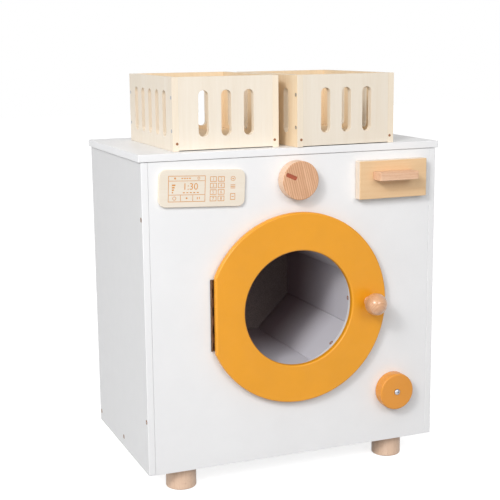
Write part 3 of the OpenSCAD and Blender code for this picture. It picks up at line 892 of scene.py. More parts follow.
@dataclass
class Screw:
    """A cross-head screw, modelled once along its own +Z, which points out of its head."""

    radius: float
    head_radius: float
    length: float
    style: HeadStyle = HeadStyle.FLAT
    proud: float = 0.15
    pan_rise: float = 0.55
    tip: float = 0.7
    cross: Point = (0.62, 0.13, 0.4)
    cross_taper: float = 0.35
    sides: int = 32

    def build(self, name: str) -> Thing:
        """Returns the screw under a name, with its head's rim at z = 0."""
        flat = self.style is HeadStyle.FLAT
        dome = self.proud * MM if flat else self.head_radius * self.pan_rise
        seat = self.head_radius - self.radius if flat else 0.0
        end = -self.length
        profile = [(0.0, end), (self.radius * self.tip, end), (self.radius, end + self.radius)]
        profile += [(self.radius, -seat), (self.head_radius, 0.0)]
        profile += arc((0.0, 0.0), (self.head_radius, dome), 0, 90, 6)[1:-1]
        profile.append((0.0, dome))
        body = Bench.turned(name, profile, Matrix.Identity(4), self.sides)
        return Bench.shade(Bench.cut(body, *self._cross(dome)))

    def _cross(self, dome: float) -> list[Thing]:
        """Returns the two wedges that cut the cross into a head of this height."""
        long, thin, deep = (self.head_radius * share for share in self.cross)
        wedges = []
        for turn in (0.0, math.pi / 2):
            low, high = Vector((-long, -thin, dome - deep)), Vector((long, thin, dome + MM))
            wedge = Bench.block("wedge", low, high)
            Bench.flare(wedge, lambda corner: corner.z < dome, (self.cross_taper, 1, 1))
            wedges.append(Bench.settle(wedge, Matrix.Rotation(turn, 4, "Z")))
        return wedges

    def row(self, name: str, places: list[Matrix]) -> Thing:
        """Copies the screw to many places as one piece of this name."""
        return Bench.repeat(name, self.build(name), places)


@dataclass
class Cabinet:
    """The painted box on its feet, with its screws and the holes of its front."""

    shop: Workshop
    width: float = 400.0
    door_hole_radius: float = 79.0
    bolt_hole_radius: float = 2.6
    cut_ahead: float = 5.0
    cut_length: float = 30.0
    drawer_cut_deep: float = 20.0
    drawer_gaps: tuple[float, float, float] = (0.5, 0.2, 0.8)
    foot_radius: float = 19.5
    foot_edge: float = 2.0
    foot_chamfer: float = 0.3
    seam: float = 0.5
    side_screws: tuple[Pair, ...] = ((4.5, 69.0), (4.5, 321.0), (113.0, 14.5), (228.0, 14.5))
    screw_turn: float = 0.3

    def build(self) -> None:
        """Builds the cabinet's pieces."""
        shop, finishes = self.shop, self.shop.finishes
        for node in ("side_panel_left", "side_panel_right"):
            shop.board(node, "cabinet", "white_paint", finishes.side_shaded_white, ease=1.0, seam=self.seam)
        for node, ease in (("base_panel", 1.0), ("back_panel", 1.0), ("top_panel", 0.7)):
            shop.board(node, "cabinet", "white_paint", finishes.white, ease)
        cuts = self._front_cuts()
        front = ("front_panel", "cabinet", "white_paint", finishes.white)
        shop.board(*front, ease=0.8, tools=cuts, seam=self.seam)
        for corner in ("front_left", "front_right", "back_left", "back_right"):
            self._foot(corner)
        self._side_screws()
        shop.keep(finishes.steel, "foot_screws", "door_magnet", "dial_nut", "lower_knob_nut")
        shop.keep(finishes.foot, "panel_dowels")
        shop.keep(finishes.ply(Along.X, grain=Along.Y), "drawer_rail_left", "drawer_rail_right")

    def _front_cuts(self) -> tuple[Thing, ...]:
        """Returns the tools for the door hole, the drawer hole and the two bolt holes."""
        datum = self.shop.datum
        ahead = datum.front_y - self.cut_ahead * MM
        low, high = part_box("drawer_side_left")[0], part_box("drawer_side_right")[1]
        beside, below, above = (gap * MM for gap in self.drawer_gaps)
        drawer = Bench.block(
            "drawer_cut",
            Vector((low.x - beside, ahead, low.z - below)),
            Vector((high.x + beside, datum.front_y + self.drawer_cut_deep * MM, high.z + above)),
        )
        holes = [(Vector((0, 0, datum.door_z)), self.door_hole_radius, 192)]
        for node in ("dial_bolt", "lower_knob_bolt"):
            holes.append((middle_of(node), self.bolt_hole_radius, 24))
        rods = []
        for middle, radius, sides in holes:
            place = Facing.BACK.matrix(Vector((middle.x, ahead, middle.z)))
            rods.append(Bench.rod("round_cut", radius * MM, self.cut_length * MM, place, sides))
        return rods[0], drawer, *rods[1:]

    def _foot(self, corner: str) -> None:
        """Turns the foot of a corner, with a rounded lower edge."""
        low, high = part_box(f"foot_{corner}")
        radius, edge, height = self.foot_radius * MM, self.foot_edge * MM, high.z - low.z
        rim = self.foot_chamfer * MM
        profile = [(0.0, 0.0)] + arc((radius - edge, edge), (edge, edge), -90, 0, 6)
        profile += [(radius, height / 2), (radius, height - rim), (radius - rim, height), (0.0, height)]
        middle = (low + high) / 2
        place = Matrix.Translation((middle.x, middle.y, low.z))
        foot = Bench.shade(Bench.turned(f"foot_{corner}_turned", profile, place, steps=72))
        self.shop.fit(foot, "cabinet", "beech", self.shop.finishes.foot, f"foot_{corner}")

    def _side_screws(self) -> None:
        """Sets the brown screws into both sides."""
        places = []
        for side, facing in ((-1, Facing.LEFT), (1, Facing.RIGHT)):
            for back, up in self.side_screws:
                spot = self.shop.datum.at(side * self.width / 2, back, up)
                places.append(facing.matrix(spot) @ Matrix.Rotation(back * self.screw_turn, 4, "Z"))
        screws = Screw(radius=1.7 * MM, head_radius=3.0 * MM, length=26 * MM)
        heads = screws.row("side_screw_heads", places)
        self.shop.fit(heads, "cabinet", "brown_steel", self.shop.finishes.brown_steel, "side_screws")


@dataclass
class DisplayPlate:
    """The pale plate with its scorched lines: numbers, frames and plain marks, all cut into the wood."""

    shop: Workshop
    width: float = 110.0
    height: float = 45.2
    corner: float = 9.0
    turn: float = math.radians(2.4)
    ahead: float = 1.0
    cut_depth: float = 0.35
    through: float = 2.0
    ease: float = 0.7
    line: float = 0.7

    def build(self) -> None:
        """Builds the plate and cuts its lines."""
        low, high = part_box("display_plate")
        middle, half = (low + high) / 2, Vector((self.width * MM, high.y - low.y, self.height * MM)) / 2
        self._low = middle - half
        plate = Bench.block("display_plate_cut", self._low, middle + half)
        Bench.round_corners(plate, Along.Y, self.corner * MM, segments=12)
        Bench.round_edges(plate, self.ease * MM)
        tool = Bench.join("display_tool", self._marks())
        finishes = self.shop.finishes
        for thing in (plate, tool):
            finishes.dress(thing, finishes.ply(Along.Y, grain=Along.X), finishes.scorch)
        for face in tool.data.polygons:
            face.material_index = 1
        Bench.shade(Bench.cut(plate, tool))
        turned = Matrix.Rotation(self.turn, 4, "Y")
        Bench.settle(plate, Matrix.Translation(middle) @ turned @ Matrix.Translation(-middle))
        self.shop.fit(plate, "cabinet", "basswood_ply", None, "display_plate")

    def _bar(self, left: float, low: float, right: float, high: float, extra: float = 0.0) -> Thing:
        """Returns a cutter for a rectangle on the plate's face.

        Args:
            left: Its left edge in millimetres from the plate's left edge.
            low: Its lower edge in millimetres from the plate's lower edge.
            right: Its right edge.
            high: Its upper edge.
            extra: How much further it reaches to both sides of the face than the others.

        Returns:
            The cutter.
        """
        start = self._low + Vector((left, -self.ahead - extra, low)) * MM
        end = self._low + Vector((right, self.cut_depth + extra, high)) * MM
        return Bench.block("mark", start, end)

    def _frame(self, left: float, low: float, right: float, high: float) -> Thing:
        """Returns a cutter for the outline of a rectangle."""
        line = self.line
        inside = self._bar(left + line, low + line, right - line, high - line, self.through)
        return Bench.cut(self._bar(left, low, right, high), inside)

    def _disc(self, across: float, up: float, radius: float, hole: float = 0.0) -> Thing:
        """Returns a cutter for a disc, or for a ring if it has a hole."""
        place = Facing.BACK.matrix(self._low + Vector((across, -self.ahead, up)) * MM)
        disc = Bench.rod("mark", radius * MM, (self.ahead + self.cut_depth) * MM, place, sides=24)
        if hole:
            start = place @ Matrix.Translation((0, 0, -self.through * MM))
            Bench.cut(disc, Bench.rod("hole", hole * MM, 4 * self.through * MM, start, sides=24))
        return disc

    def _number(self, words: str, across: float, up: float, size: float) -> Thing:
        """Returns a cutter for plain numbers, centred at a place on the plate."""
        half = (self.ahead + self.cut_depth) / 2
        Bench.pick()
        bpy.ops.object.text_add()
        text = bpy.context.object
        text.data.body = words
        text.data.size = size * MM
        text.data.extrude = half * MM
        text.data.align_x, text.data.align_y = "CENTER", "CENTER"
        text.data.resolution_u = 3
        Bench.pick(text)
        bpy.ops.object.convert(target="MESH")
        middle = self._low + Vector((across, half - self.ahead, up)) * MM
        return Bench.settle(bpy.context.object, Facing.FRONT.matrix(middle))

    def _marks(self) -> list[Thing]:
        """Returns every cutter of the plate's marks."""
        bar, disc, frame = self._bar, self._disc, self._frame
        marks = [frame(11.5, 6.5, 58.5, 38.0)]
        marks += [bar(12.4, 14.7, 57.6, 15.35), bar(12.4, 31.5, 57.6, 32.1)]
        marks += [bar(26.8, 7.4, 27.4, 14.5), bar(42.4, 7.4, 43.0, 14.5)]
        marks.append(self._number("1:30", 39.5, 24.6, 11.5))
        marks += [bar(30 + 4.4 * i, 17.0, 32.6 + 4.4 * i, 18.2) for i in range(5)]
        marks += [bar(16.2, 17.2 + 2.9 * i, 17.8 + 0.9 * i, 18.9 + 2.9 * i) for i in range(4)]
        marks += [disc(19.4, 10.9, 2.3, 1.7), disc(35.0, 10.9, 1.1)]
        marks += [bar(48.0, 9.5, 49.0, 12.3), bar(50.6, 9.5, 51.6, 12.3)]
        marks += [disc(20.0, 34.9, 1.2), disc(50.0, 34.9, 1.7, 1.1)]
        marks += [bar(28 + 3.2 * i, 34.2, 30.2 + 3.2 * i, 35.6) for i in range(4)]
        for row in range(4):
            for column in range(2):
                left, low = 64.5 + 10.2 * column, 30.4 - 7.9 * row
                marks.append(frame(left, low, left + 8.4, low + 6.4))
                marks.append(self._number(str(1 + 2 * row + column), left + 4.2, low + 3.1, 5.2))
        marks += [disc(94.0, 34.0, 3.0, 2.4), disc(94.0, 34.0, 0.9)]
        marks += [bar(91.0, 22.0 + 1.9 * i, 97.0, 22.8 + 1.9 * i) for i in range(3)]
        marks += [frame(90.8, 8.0, 97.2, 16.0), bar(92.4, 11.6, 95.6, 12.4)]
        return marks


@dataclass
class Door:
    """The orange ring with its ball and its half of the hinge, and the cabinet's half."""

    shop: Workshop
    radius: float = 122.5
    hole_radius: float = 74.0
    thickness: float = 9.0
    edge: float = 2.4
    back_gap: float = 3.2
    flat_at: float = -112.5
    hinge_x: float = -114.5
    knuckles: int = 8
    knuckle_radius: float = 1.6
    knuckle_gap: float = 0.2
    leaf: float = 0.8
    leaf_start: float = 1.8
    tongue: float = 2.0
    pin_radius: float = 0.8
    pin_end: float = 0.2
    ball_radius: float = 14.3
    ball_x: float = 98.25
    ball_back: float = -30.7
    neck_radius: float = 6.6
    neck_foot: float = 7.2
    neck_steps: Pair = (0.5, 1.2)

    def build(self) -> None:
        """Builds the ring, the ball and the hinge."""
        self._ring()
        self._ball()
        low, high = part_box("hinge_pin")
        base, top = low.z + self.pin_end * MM, high.z - self.pin_end * MM
        self._leaf("hinge_leaf_panel", "cabinet", 0, self.leaf, base, top)
        self._leaf("hinge_leaf_door", "door", 1, self.back_gap, base, top)
        self._pin(base, top)
        finishes = self.shop.finishes
        self.shop.keep(finishes.steel, "door_strike", "door_ball_screw")
        self.shop.keep(finishes.bronze, "hinge_door_screws", "hinge_panel_screws")

    def _ring(self) -> None:
        """Draws the ring's inner circle, widens it, thickens it and cuts the hinge side straight."""
        mesh = bpy.ops.mesh
        Bench.pick()
        mesh.primitive_circle_add(vertices=256, radius=self.hole_radius * MM, fill_type="NOTHING")
        ring = bpy.context.object
        ring.name = "door_ring_painted"
        bpy.ops.object.mode_set(mode="EDIT")
        mesh.select_all(action="SELECT")
        mesh.extrude_region_move()
        bpy.ops.transform.resize(value=(self.radius / self.hole_radius,) * 3)
        mesh.select_all(action="SELECT")
        mesh.normals_make_consistent(inside=False)
        mesh.extrude_region_move(TRANSFORM_OT_translate={"value": (0, 0, self.thickness * MM)})
        mesh.select_all(action="SELECT")
        edge = (self.flat_at * MM, 0, 0)
        mesh.bisect(plane_co=edge, plane_no=(1, 0, 0), use_fill=True, clear_inner=True)
        mesh.select_all(action="SELECT")
        mesh.remove_doubles(threshold=WELD)
        mesh.normals_make_consistent(inside=False)
        bpy.ops.object.mode_set(mode="OBJECT")
        Bench.settle(ring, Facing.FRONT.matrix(self.shop.datum.by_door(0, -self.back_gap)))
        Bench.ease(ring, self.edge * MM, segments=6)
        self.shop.fit(ring, "door", "orange_paint", self.shop.finishes.orange, "door_ring")

    def _ball(self) -> None:
        """Turns the ball and its short neck."""
        radius, neck, foot = self.ball_radius * MM, self.neck_radius * MM, self.neck_foot * MM
        face = self.back_gap + self.thickness
        up = (-face - self.ball_back) * MM
        start = math.degrees(math.asin(neck / radius)) - 90
        lower, upper = self.neck_steps
        profile = [(0.0, 0.0), (foot, 0.0), (foot, lower * MM), (neck, upper * MM)]
        profile += arc((0.0, up), (radius, radius), start, 90, 32)[:-1]
        profile.append((0.0, up + radius))
        place = Facing.FRONT.matrix(self.shop.datum.by_door(self.ball_x, -face))
        ball = Bench.shade(Bench.turned("door_ball_turned", profile, place, steps=72))
        self.shop.fit(ball, "door", "beech", self.shop.finishes.ball, "door_ball")

    def _leaf(self, node: str, body: str, first: int, ahead: float, base: float, top: float) -> None:
        """Builds a leaf of the hinge: its plate, and every second knuckle with a tongue to it.

        Args:
            node: The CAD node that it stands for.
            body: The body that it rides on.
            first: The number of its lowest knuckle, from 0.
            ahead: How far its face stands before the front board's, in millimetres.
            base: The height of the hinge's lower end.
            top: The height of its upper end.
        """
        x, y = self.hinge_x * MM, self.shop.datum.front_y - ahead * MM
        back, pitch, gap = y + self.leaf * MM, (top - base) / self.knuckles, self.knuckle_gap * MM
        start, end = Vector((x + self.leaf_start * MM, y, base)), Vector((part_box(node)[1].x, back, top))
        parts = [Bench.block(f"{node}_plate", start, end)]
        for i in range(first, self.knuckles, 2):
            z = base + i * pitch + gap / 2
            axis = Matrix.Translation((x, self._axis_y(), z))
            parts.append(Bench.rod("knuckle", self.knuckle_radius * MM, pitch - gap, axis, sides=24))
            corner = Vector((x + self.tongue * MM, back, z + pitch - gap))
            parts.append(Bench.block("tongue", Vector((x, y, z)), corner))
        for part in parts:
            Bench.ease(part, 0.15 * MM, segments=2)
        leaf = Bench.join(f"{node}_formed", parts)
        self.shop.fit(leaf, body, "bronze", self.shop.finishes.bronze, node)

    def _axis_y(self) -> float:
        """Returns where the hinge's axis stands from front to back."""
        return self.shop.datum.front_y - self.knuckle_radius * MM

    def _pin(self, low: float, high: float) -> None:
        """Turns the hinge's pin between two heights, with domed ends beyond them."""
        radius, end, run = self.pin_radius * MM, self.pin_end * MM, high - low
        profile = [(0.0, -end), (radius * 0.7, -0.75 * end), (radius, end / 2), (radius, run / 2)]
        profile += [(radius, run - end / 2), (radius * 0.7, run + 0.75 * end), (0.0, run + end)]
        place = Matrix.Translation((self.hinge_x * MM, self._axis_y(), low))
        pin = Bench.shade(Bench.turned("hinge_pin_turned", profile, place, steps=20))
        self.shop.fit(pin, "cabinet", "bronze", self.shop.finishes.bronze, "hinge_pin")


@dataclass(frozen=True)
class Disc:
    """A turned disc on the front, whose outer edge is rounded."""

    node: str
    radius: float
    thickness: float
    edge: float
    back_edge: float = 1.2

    def place(self) -> Matrix:
        """Returns the disc's frame, which starts at its back and whose +Z runs out of the front."""
        middle = middle_of(self.node)
        return Facing.FRONT.matrix(Vector((middle.x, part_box(self.node)[1].y, middle.z)))

    def build(self) -> Thing:
        """Turns the disc in its place."""
        rim, back, edge, front = self.radius, self.back_edge, self.edge, self.thickness
        points = [(0.0, 0.0), (rim - back, 0.0), (rim - 0.3 * back, 0.3 * back), (rim, back)]
        points += [(rim, front / 2), *arc((rim - edge, front - edge), (edge, edge), 0, 90, 6)]
        points += [(rim * 0.5, front), (0.0, front)]
        section = [(across * MM, up * MM) for across, up in points]
        return Bench.turned(f"{self.node}_turned", section, self.place(), steps=96)


@dataclass
class Dial:
    """The programme dial with its sunk pointer."""

    shop: Workshop
    disc: Disc = Disc("dial_disc", 24.3, 16.0, 1.3)
    pointer: Pair = (15.4, 5.2)
    pointer_corner: float = 1.6
    pointer_in: float = 2.8
    pointer_turn: float = math.radians(156)
    pointer_sunk: float = 0.5
    slot_deep: float = 1.0
    slot_over: float = 3.0

    def build(self) -> None:
        """Builds the disc and the pointer."""
        finishes = self.shop.finishes
        disc = Bench.shade(Bench.cut(self.disc.build(), self._slot(self.slot_over)))
        self.shop.fit(disc, "dial", "beech", finishes.dial, "dial_disc")
        inlay = self._slot(-self.pointer_sunk)
        inlay.name = "dial_pointer_inlay"
        Bench.ease(inlay, 0.2 * MM, segments=2)
        self.shop.fit(inlay, "dial", "walnut_inlay", finishes.pointer, "dial_pointer")
        self.shop.keep(finishes.steel, "dial_bolt")

    def _slot(self, proud: float) -> Thing:
        """Returns a bar in the pointer's place, which stands so many millimetres over the face."""
        long, wide = self.pointer
        end, face = self.disc.radius - self.pointer_in, self.disc.thickness
        low = Vector((end - long, -wide / 2, face - self.slot_deep)) * MM
        bar = Bench.block("slot", low, Vector((end, wide / 2, face + proud)) * MM)
        Bench.round_corners(bar, Along.Z, self.pointer_corner * MM, segments=6)
        return Bench.settle(bar, self.disc.place() @ Matrix.Rotation(self.pointer_turn, 4, "Z"))


@dataclass
class LowerKnob:
    """The orange knob, which turns on a bolt with a domed cross head."""

    shop: Workshop
    disc: Disc = Disc("lower_knob", 24.4, 16.0, 2.4)
    seat_radius: float = 4.4
    seat_deep: float = 0.4
    cutter: float = 3.0
    head_turn: float = 0.5

    def build(self) -> None:
        """Builds the knob and its bolt."""
        place, face, finishes = self.disc.place(), self.disc.thickness, self.shop.finishes
        bottom = place @ Matrix.Translation((0, 0, (face - self.seat_deep) * MM))
        seat = Bench.rod("seat", self.seat_radius * MM, self.cutter * MM, bottom, sides=32)
        knob = Bench.shade(Bench.cut(self.disc.build(), seat))
        self.shop.fit(knob, "lower_knob_body", "orange_paint", finishes.knob_orange, "lower_knob")
        head = place @ Matrix.Translation((0, 0, face * MM)) @ Matrix.Rotation(self.head_turn, 4, "Z")
        screw = Screw(radius=2.0 * MM, head_radius=4.0 * MM, length=31 * MM, style=HeadStyle.PAN)
        bolt = Bench.settle(screw.build("lower_knob_bolt_formed"), head)
        self.shop.fit(bolt, "cabinet", "steel", finishes.steel, "lower_knob_bolt")


@dataclass
class Drawer:
    """The soap drawer with its bar handle."""

    shop: Workshop

    def build(self) -> None:
        """Builds the drawer's boards and handle."""
        shop, finishes = self.shop, self.shop.finishes
        shop.board("drawer_front", "drawer", "beech", finishes.drawer, ease=1.2)
        shop.board("drawer_handle", "drawer", "beech", finishes.handle, ease=0.8)
        side = finishes.ply(Along.X, grain=Along.Y)
        inside = (
            ("drawer_side_left", side, 0.4),
            ("drawer_side_right", side, 0.4),
            ("drawer_back", finishes.ply(Along.Y, grain=Along.X), 0.4),
            ("drawer_floor", finishes.ply(Along.Z, grain=Along.Y), 0.3),
        )
        for node, finish, ease in inside:
            shop.board(node, "drawer", "basswood_ply", finish, ease)
        shop.keep(finishes.steel, "handle_screws", "drawer_nails")


@dataclass
class Drum:
    """The eight-sided drum: staves in a front ring, a dark back disc, screws and the axle's fittings."""

    shop: Workshop
    sides: int = 8
    inner: float = 82.0
    thickness: float = 9.0
    joint: float = 0.2
    rim: float = 106.5
    ring_width: float = 12.0
    front: float = 11.0
    rear: float = 213.0
    back_bore: float = 8.0
    back_thickness: float = 9.0
    back_edge: float = 0.6
    cut_ahead: float = 10.0
    cutter: float = 40.0
    axle_head: tuple[Pair, ...] = ((0.0, 0.0), (8.8, 0.0), (9.8, 0.6), (10.0, 1.4), (10.0, 3.5))
    axle_radius: float = 5.0
    axle_tip: Pair = (4.2, 1.0)
    axle_bore: float = 5.05
    washer_radius: float = 11.0
    washer_edge: float = 0.25
    nut_radius: float = 9.5
    spacer: Pair = (222.2, 3.8)
    washer: Pair = (235.0, 1.5)
    nut: Pair = (236.5, 6.0)

    def build(self) -> None:
        """Builds the drum and what carries it."""
        self._axis = self.shop.datum.by_door(0, 0)
        self._staves()
        self._ring()
        sizes = (self.back_bore, self.rim, self.back_thickness, self.back_edge)
        disc = self._flat_ring("drum_back_sawn", sizes, self.rear, 128)
        self.shop.fit(disc, "drum", "hardboard", self.shop.finishes.hardboard, "drum_back")
        self._screws()
        self._axle()
        self.shop.keep(self.shop.finishes.nylon, "drum_bush")

    def _at(self, back: float, turn: float = 0.0) -> Matrix:
        """Returns the drum's frame, whose +Z runs back along the axle.

        Args:
            back: How far behind the front board's face it starts, in millimetres.
            turn: How far it is turned about the axle.

        Returns:
            The matrix.
        """
        start = Facing.BACK.matrix(self._axis + Vector((0, back * MM, 0)))
        return start @ Matrix.Rotation(turn, 4, "Z")

    def _flat_ring(
        self, name: str, sizes: tuple[float, float, float, float], back: float, steps: int
    ) -> Thing:
        """Turns a flat ring whose outer corners are broken.

        Args:
            name: The piece's name.
            sizes: The hole's radius, the outer radius, the thickness and the corners' width.
            back: How far behind the front board's face it starts, in millimetres.
            steps: The number of sides.

        Returns:
            The ring.
        """
        bore, rim, thick, edge = (size * MM for size in sizes)
        section = [(bore, 0.0), (rim - edge, 0.0), (rim, edge), (rim, thick - edge)]
        section += [(rim - edge, thick), (bore, thick), (bore, 0.0)]
        return Bench.shade(Bench.turned(name, section, self._at(back), steps))

    def _turns(self) -> list[float]:
        """Returns how far each stave is turned about the axle."""
        return [i * 2 * math.pi / self.sides for i in range(self.sides)]

    def _staves(self) -> None:
        """Shapes one stave, wider outside than inside, and copies it round."""
        half = math.tan(math.pi / self.sides)
        inner, outer = self.inner, self.inner + self.thickness
        wide_in, wide_out = inner * half - self.joint / 2, outer * half - self.joint / 2
        low = Vector((inner * MM, -wide_in * MM, 0))
        high = Vector((outer * MM, wide_in * MM, (self.rear - self.front) * MM))
        stave = Bench.block("stave", low, high)
        Bench.flare(stave, lambda corner: corner.x > (inner + 1) * MM, (1, wide_out / wide_in, 1))
        Bench.ease(stave, 0.6 * MM, segments=2)
        places = [self._at(self.front, turn) for turn in self._turns()]
        staves = Bench.repeat("drum_staves_shaped", stave, places)
        self.shop.fit(staves, "drum", "white_paint", self.shop.finishes.drum_white, "drum_staves")

    def _ring(self) -> None:
        """Makes the ring round the staves' front ends."""
        start = self._at(self.front)
        ring = Bench.rod("drum_ring_sawn", self.rim * MM, self.ring_width * MM, start, sides=160)
        corner = (self.inner + self.thickness) / math.cos(math.pi / self.sides)
        place = self._at(self.front - self.cut_ahead, math.pi / self.sides + math.pi / 2)
        Bench.cut(ring, Bench.rod("ring_hole", corner * MM, self.cutter * MM, place, self.sides))
        Bench.ease(ring, 0.8 * MM, segments=2)
        self.shop.fit(ring, "drum", "white_paint", self.shop.finishes.drum_white, "drum_ring")

    def _screws(self) -> None:
        """Sets a screw through every stave into the ring, and one from behind into its end."""
        inward = Matrix.Translation((self.inner * MM, 0, 0)) @ Matrix.Rotation(-math.pi / 2, 4, "Y")
        in_end = Matrix.Translation(((self.inner + self.thickness / 2) * MM, 0, 0))
        places = []
        for turn in self._turns():
            places.append(self._at(self.front + self.ring_width / 2, turn) @ inward)
            places.append(self._at(self.rear + self.back_thickness, turn) @ in_end)
        screws = Screw(radius=1.5 * MM, head_radius=3.0 * MM, length=15 * MM, proud=0.2)
        heads = screws.row("drum_screw_heads", places)
        self.shop.fit(heads, "drum", "brown_steel", self.shop.finishes.screw_lacquer, "drum_screws")

    def _axle(self) -> None:
        """Turns the axle bolt, and makes its spacer, washer and nut."""
        steel = self.shop.finishes.steel
        low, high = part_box("axle_bolt")
        radius, length = self.axle_radius, (high.y - low.y) / MM
        under_head, (tip, chamfer) = self.axle_head[-1][1], self.axle_tip
        points = [*self.axle_head, (radius, under_head), (radius, length - chamfer), (tip, length)]
        points.append((0.0, length))
        section = [(across * MM, up * MM) for across, up in points]
        place = self._at((low.y - self.shop.datum.front_y) / MM)
        bolt = Bench.shade(Bench.turned("axle_bolt_turned", section, place, steps=48))
        self.shop.fit(bolt, "cabinet", "steel", steel, "axle_bolt")
        parts = [self._washer(*self.spacer), self._washer(*self.washer), self._nut(*self.nut)]
        hardware = Bench.join("axle_hardware_formed", parts)
        self.shop.fit(hardware, "cabinet", "steel", steel, "axle_hardware")

    def _washer(self, back: float, thick: float) -> Thing:
        """Returns a washer with eased rims, at a depth in millimetres."""
        sizes = (self.axle_bore, self.washer_radius, thick, self.washer_edge)
        return self._flat_ring("washer", sizes, back, 48)

    def _nut(self, back: float, thick: float) -> Thing:
        """Returns a hexagon nut with chamfered corners, at a depth in millimetres."""
        nut = Bench.rod("nut", self.nut_radius * MM, thick * MM, self._at(back), sides=6)
        start = self._at(back - self.cut_ahead)
        Bench.cut(nut, Bench.rod("nut_bore", self.axle_bore * MM, self.cutter * MM, start, sides=32))
        return Bench.ease(nut, 0.5 * MM, segments=2)


@dataclass
class Basket:
    """A slotted plywood basket that stands loose on the top board."""

    shop: Workshop
    name: str
    corner: Pair
    turn: float = 0.0
    width: float = 138.5
    depth: float = 180.0
    height: float = 88.5
    wall: float = 8.0
    floor: Pair = (6.0, 12.0)
    lift: float = 0.2
    under_gap: float = 1.0
    slot: Pair = (13.0, 56.0)
    pitch: float = 29.5
    through: float = 5.0
    screw_rise: float = 20.0
    screw_turn: float = 0.4
    plug: Pair = (5.5, 9.0)
    end_round: float = 0.999
    # Outside faces that take the warm sheet, which paints the shade of the gap between the baskets.
    shade_warm_outside: tuple[str, ...] = ()

    def build(self) -> None:
        """Builds the basket's boards, screws and plugs."""
        datum = self.shop.datum
        across, back = self.corner
        place = Vector((across * MM, datum.front_y + back * MM, datum.deck_z + self.lift * MM))
        self._place = Matrix.Translation(place) @ Matrix.Rotation(self.turn, 4, "Z")
        wide, deep, high, wall = self.width, self.depth, self.height, self.wall
        low, bottom, top = self.under_gap, *self.floor
        self._wall("front", (wall, 0, low), (wide - wall, wall, high), Along.Y, 3)
        self._wall("back", (wall, deep - wall, low), (wide - wall, deep, high), Along.Y, 3)
        self._wall("side_a", (0, 0, 0), (wall, deep, high), Along.X, 5)
        self._wall("side_b", (wide - wall, 0, 0), (wide, deep, high), Along.X, 5)
        self._wall("floor", (wall, wall, bottom), (wide - wall, deep - wall, top), Along.Z, 0)
        self._fasteners()

    def _wall(self, part: str, low: Point, high: Point, thickness: Along, slots: int) -> None:
        """Builds one board with its slots.

        Args:
            part: The board's name.
            low: Its low corner in the basket's own frame, in millimetres.
            high: Its high corner.
            thickness: The direction through the board.
            slots: The number of its slots.
        """
        board = Bench.block(f"{self.name}_{part}_ply", Vector(low) * MM, Vector(high) * MM)
        run = Along.X if thickness is Along.Y else Along.Y
        middle = (self.width if run is Along.X else self.depth) / 2
        wide, tall = self.slot
        for i in range(slots):
            at = middle + (i - (slots - 1) / 2) * self.pitch
            start, end = list(low), list(high)
            start[thickness.value] -= self.through
            end[thickness.value] += self.through
            start[run.value], end[run.value] = at - wide / 2, at + wide / 2
            start[Along.Z.value], end[Along.Z.value] = (self.height - tall) / 2, (self.height + tall) / 2
            tool = Bench.block("slot", Vector(start) * MM, Vector(end) * MM)
            Bench.round_corners(tool, thickness, wide / 2 * MM * self.end_round)
            Bench.cut(board, tool)
        Bench.ease(board, 0.7 * MM, segments=2)
        Bench.settle(board, self._place)
        finishes, grain = self.shop.finishes, Along.X if thickness is Along.Z else Along.Z
        # Painted shade: the warm sheet goes on faces that look into the basket, and on the outside of the
        # side that faces the other basket.
        warm = finishes.ply(thickness, self.turn, grain, Sheet.WARM)
        outside = warm if part in self.shade_warm_outside else finishes.ply(thickness, self.turn, grain)
        finishes.dress(board, outside, warm)
        self._line_inside(board, thickness)
        self.shop.fit(board, self.name, "basswood_ply", None, f"{self.name}_{part}")

    def _line_inside(self, board: Thing, thickness: Along) -> None:
        """Gives the faces that look into the basket the board's second finish, the warm sheet, which paints
        their shade.
        """
        centre = self._place @ (Vector((self.width, self.depth, self.height * 2)) * MM / 2)
        across = self._place.to_3x3() @ Vector([float(axis is thickness) for axis in Along])
        for face in board.data.polygons:
            square = abs(face.normal.dot(across)) > SQUARE
            inward = (centre - face.center).dot(across) * face.normal.dot(across) > 0
            face.material_index = int(square and inward)

    def _fasteners(self) -> None:
        """Sets the grey screws into the sides and the brown plugs into their edges."""
        finishes = self.shop.finishes
        screws, plugs = [], []
        inset, up = self.plug
        sides = ((0, Facing.LEFT, inset), (self.width, Facing.RIGHT, self.width - inset))
        for side, facing, across in sides:
            for back in (self.wall / 2, self.depth - self.wall / 2):
                for rise in (-1, 1):
                    spot = Vector((side, back, self.height / 2 + rise * self.screw_rise)) * MM
                    turn = Matrix.Rotation(self.screw_turn + rise, 4, "Z")
                    screws.append(self._place @ facing.matrix(spot) @ turn)
            for back, end in ((0.0, Facing.FRONT), (self.depth, Facing.BACK)):
                spot = Vector((across, back, up)) * MM
                plugs.append(self._plug(self._place @ end.matrix(spot)))
        screw = Screw(radius=1.3 * MM, head_radius=2.3 * MM, length=20 * MM)
        heads = screw.row(f"{self.name}_screw_heads", screws)
        self.shop.fit(heads, self.name, "steel", finishes.steel, f"{self.name}_fasteners")
        joined = Bench.join(f"{self.name}_plugs", plugs)
        self.shop.fit(joined, self.name, "brown_steel", finishes.plug)

    @staticmethod
    def _plug(place: Matrix) -> Thing:
        """Turns a plug with a slightly domed end, whose +Z points out of the board."""
        points = [(0.0, -10.0), (1.6, -10.0), (1.8, -9.6), (1.8, -0.2), (1.7, 0.05), (1.1, 0.18), (0.0, 0.22)]
        return Bench.shade(Bench.turned("plug", [(r * MM, z * MM) for r, z in points], place, steps=24))


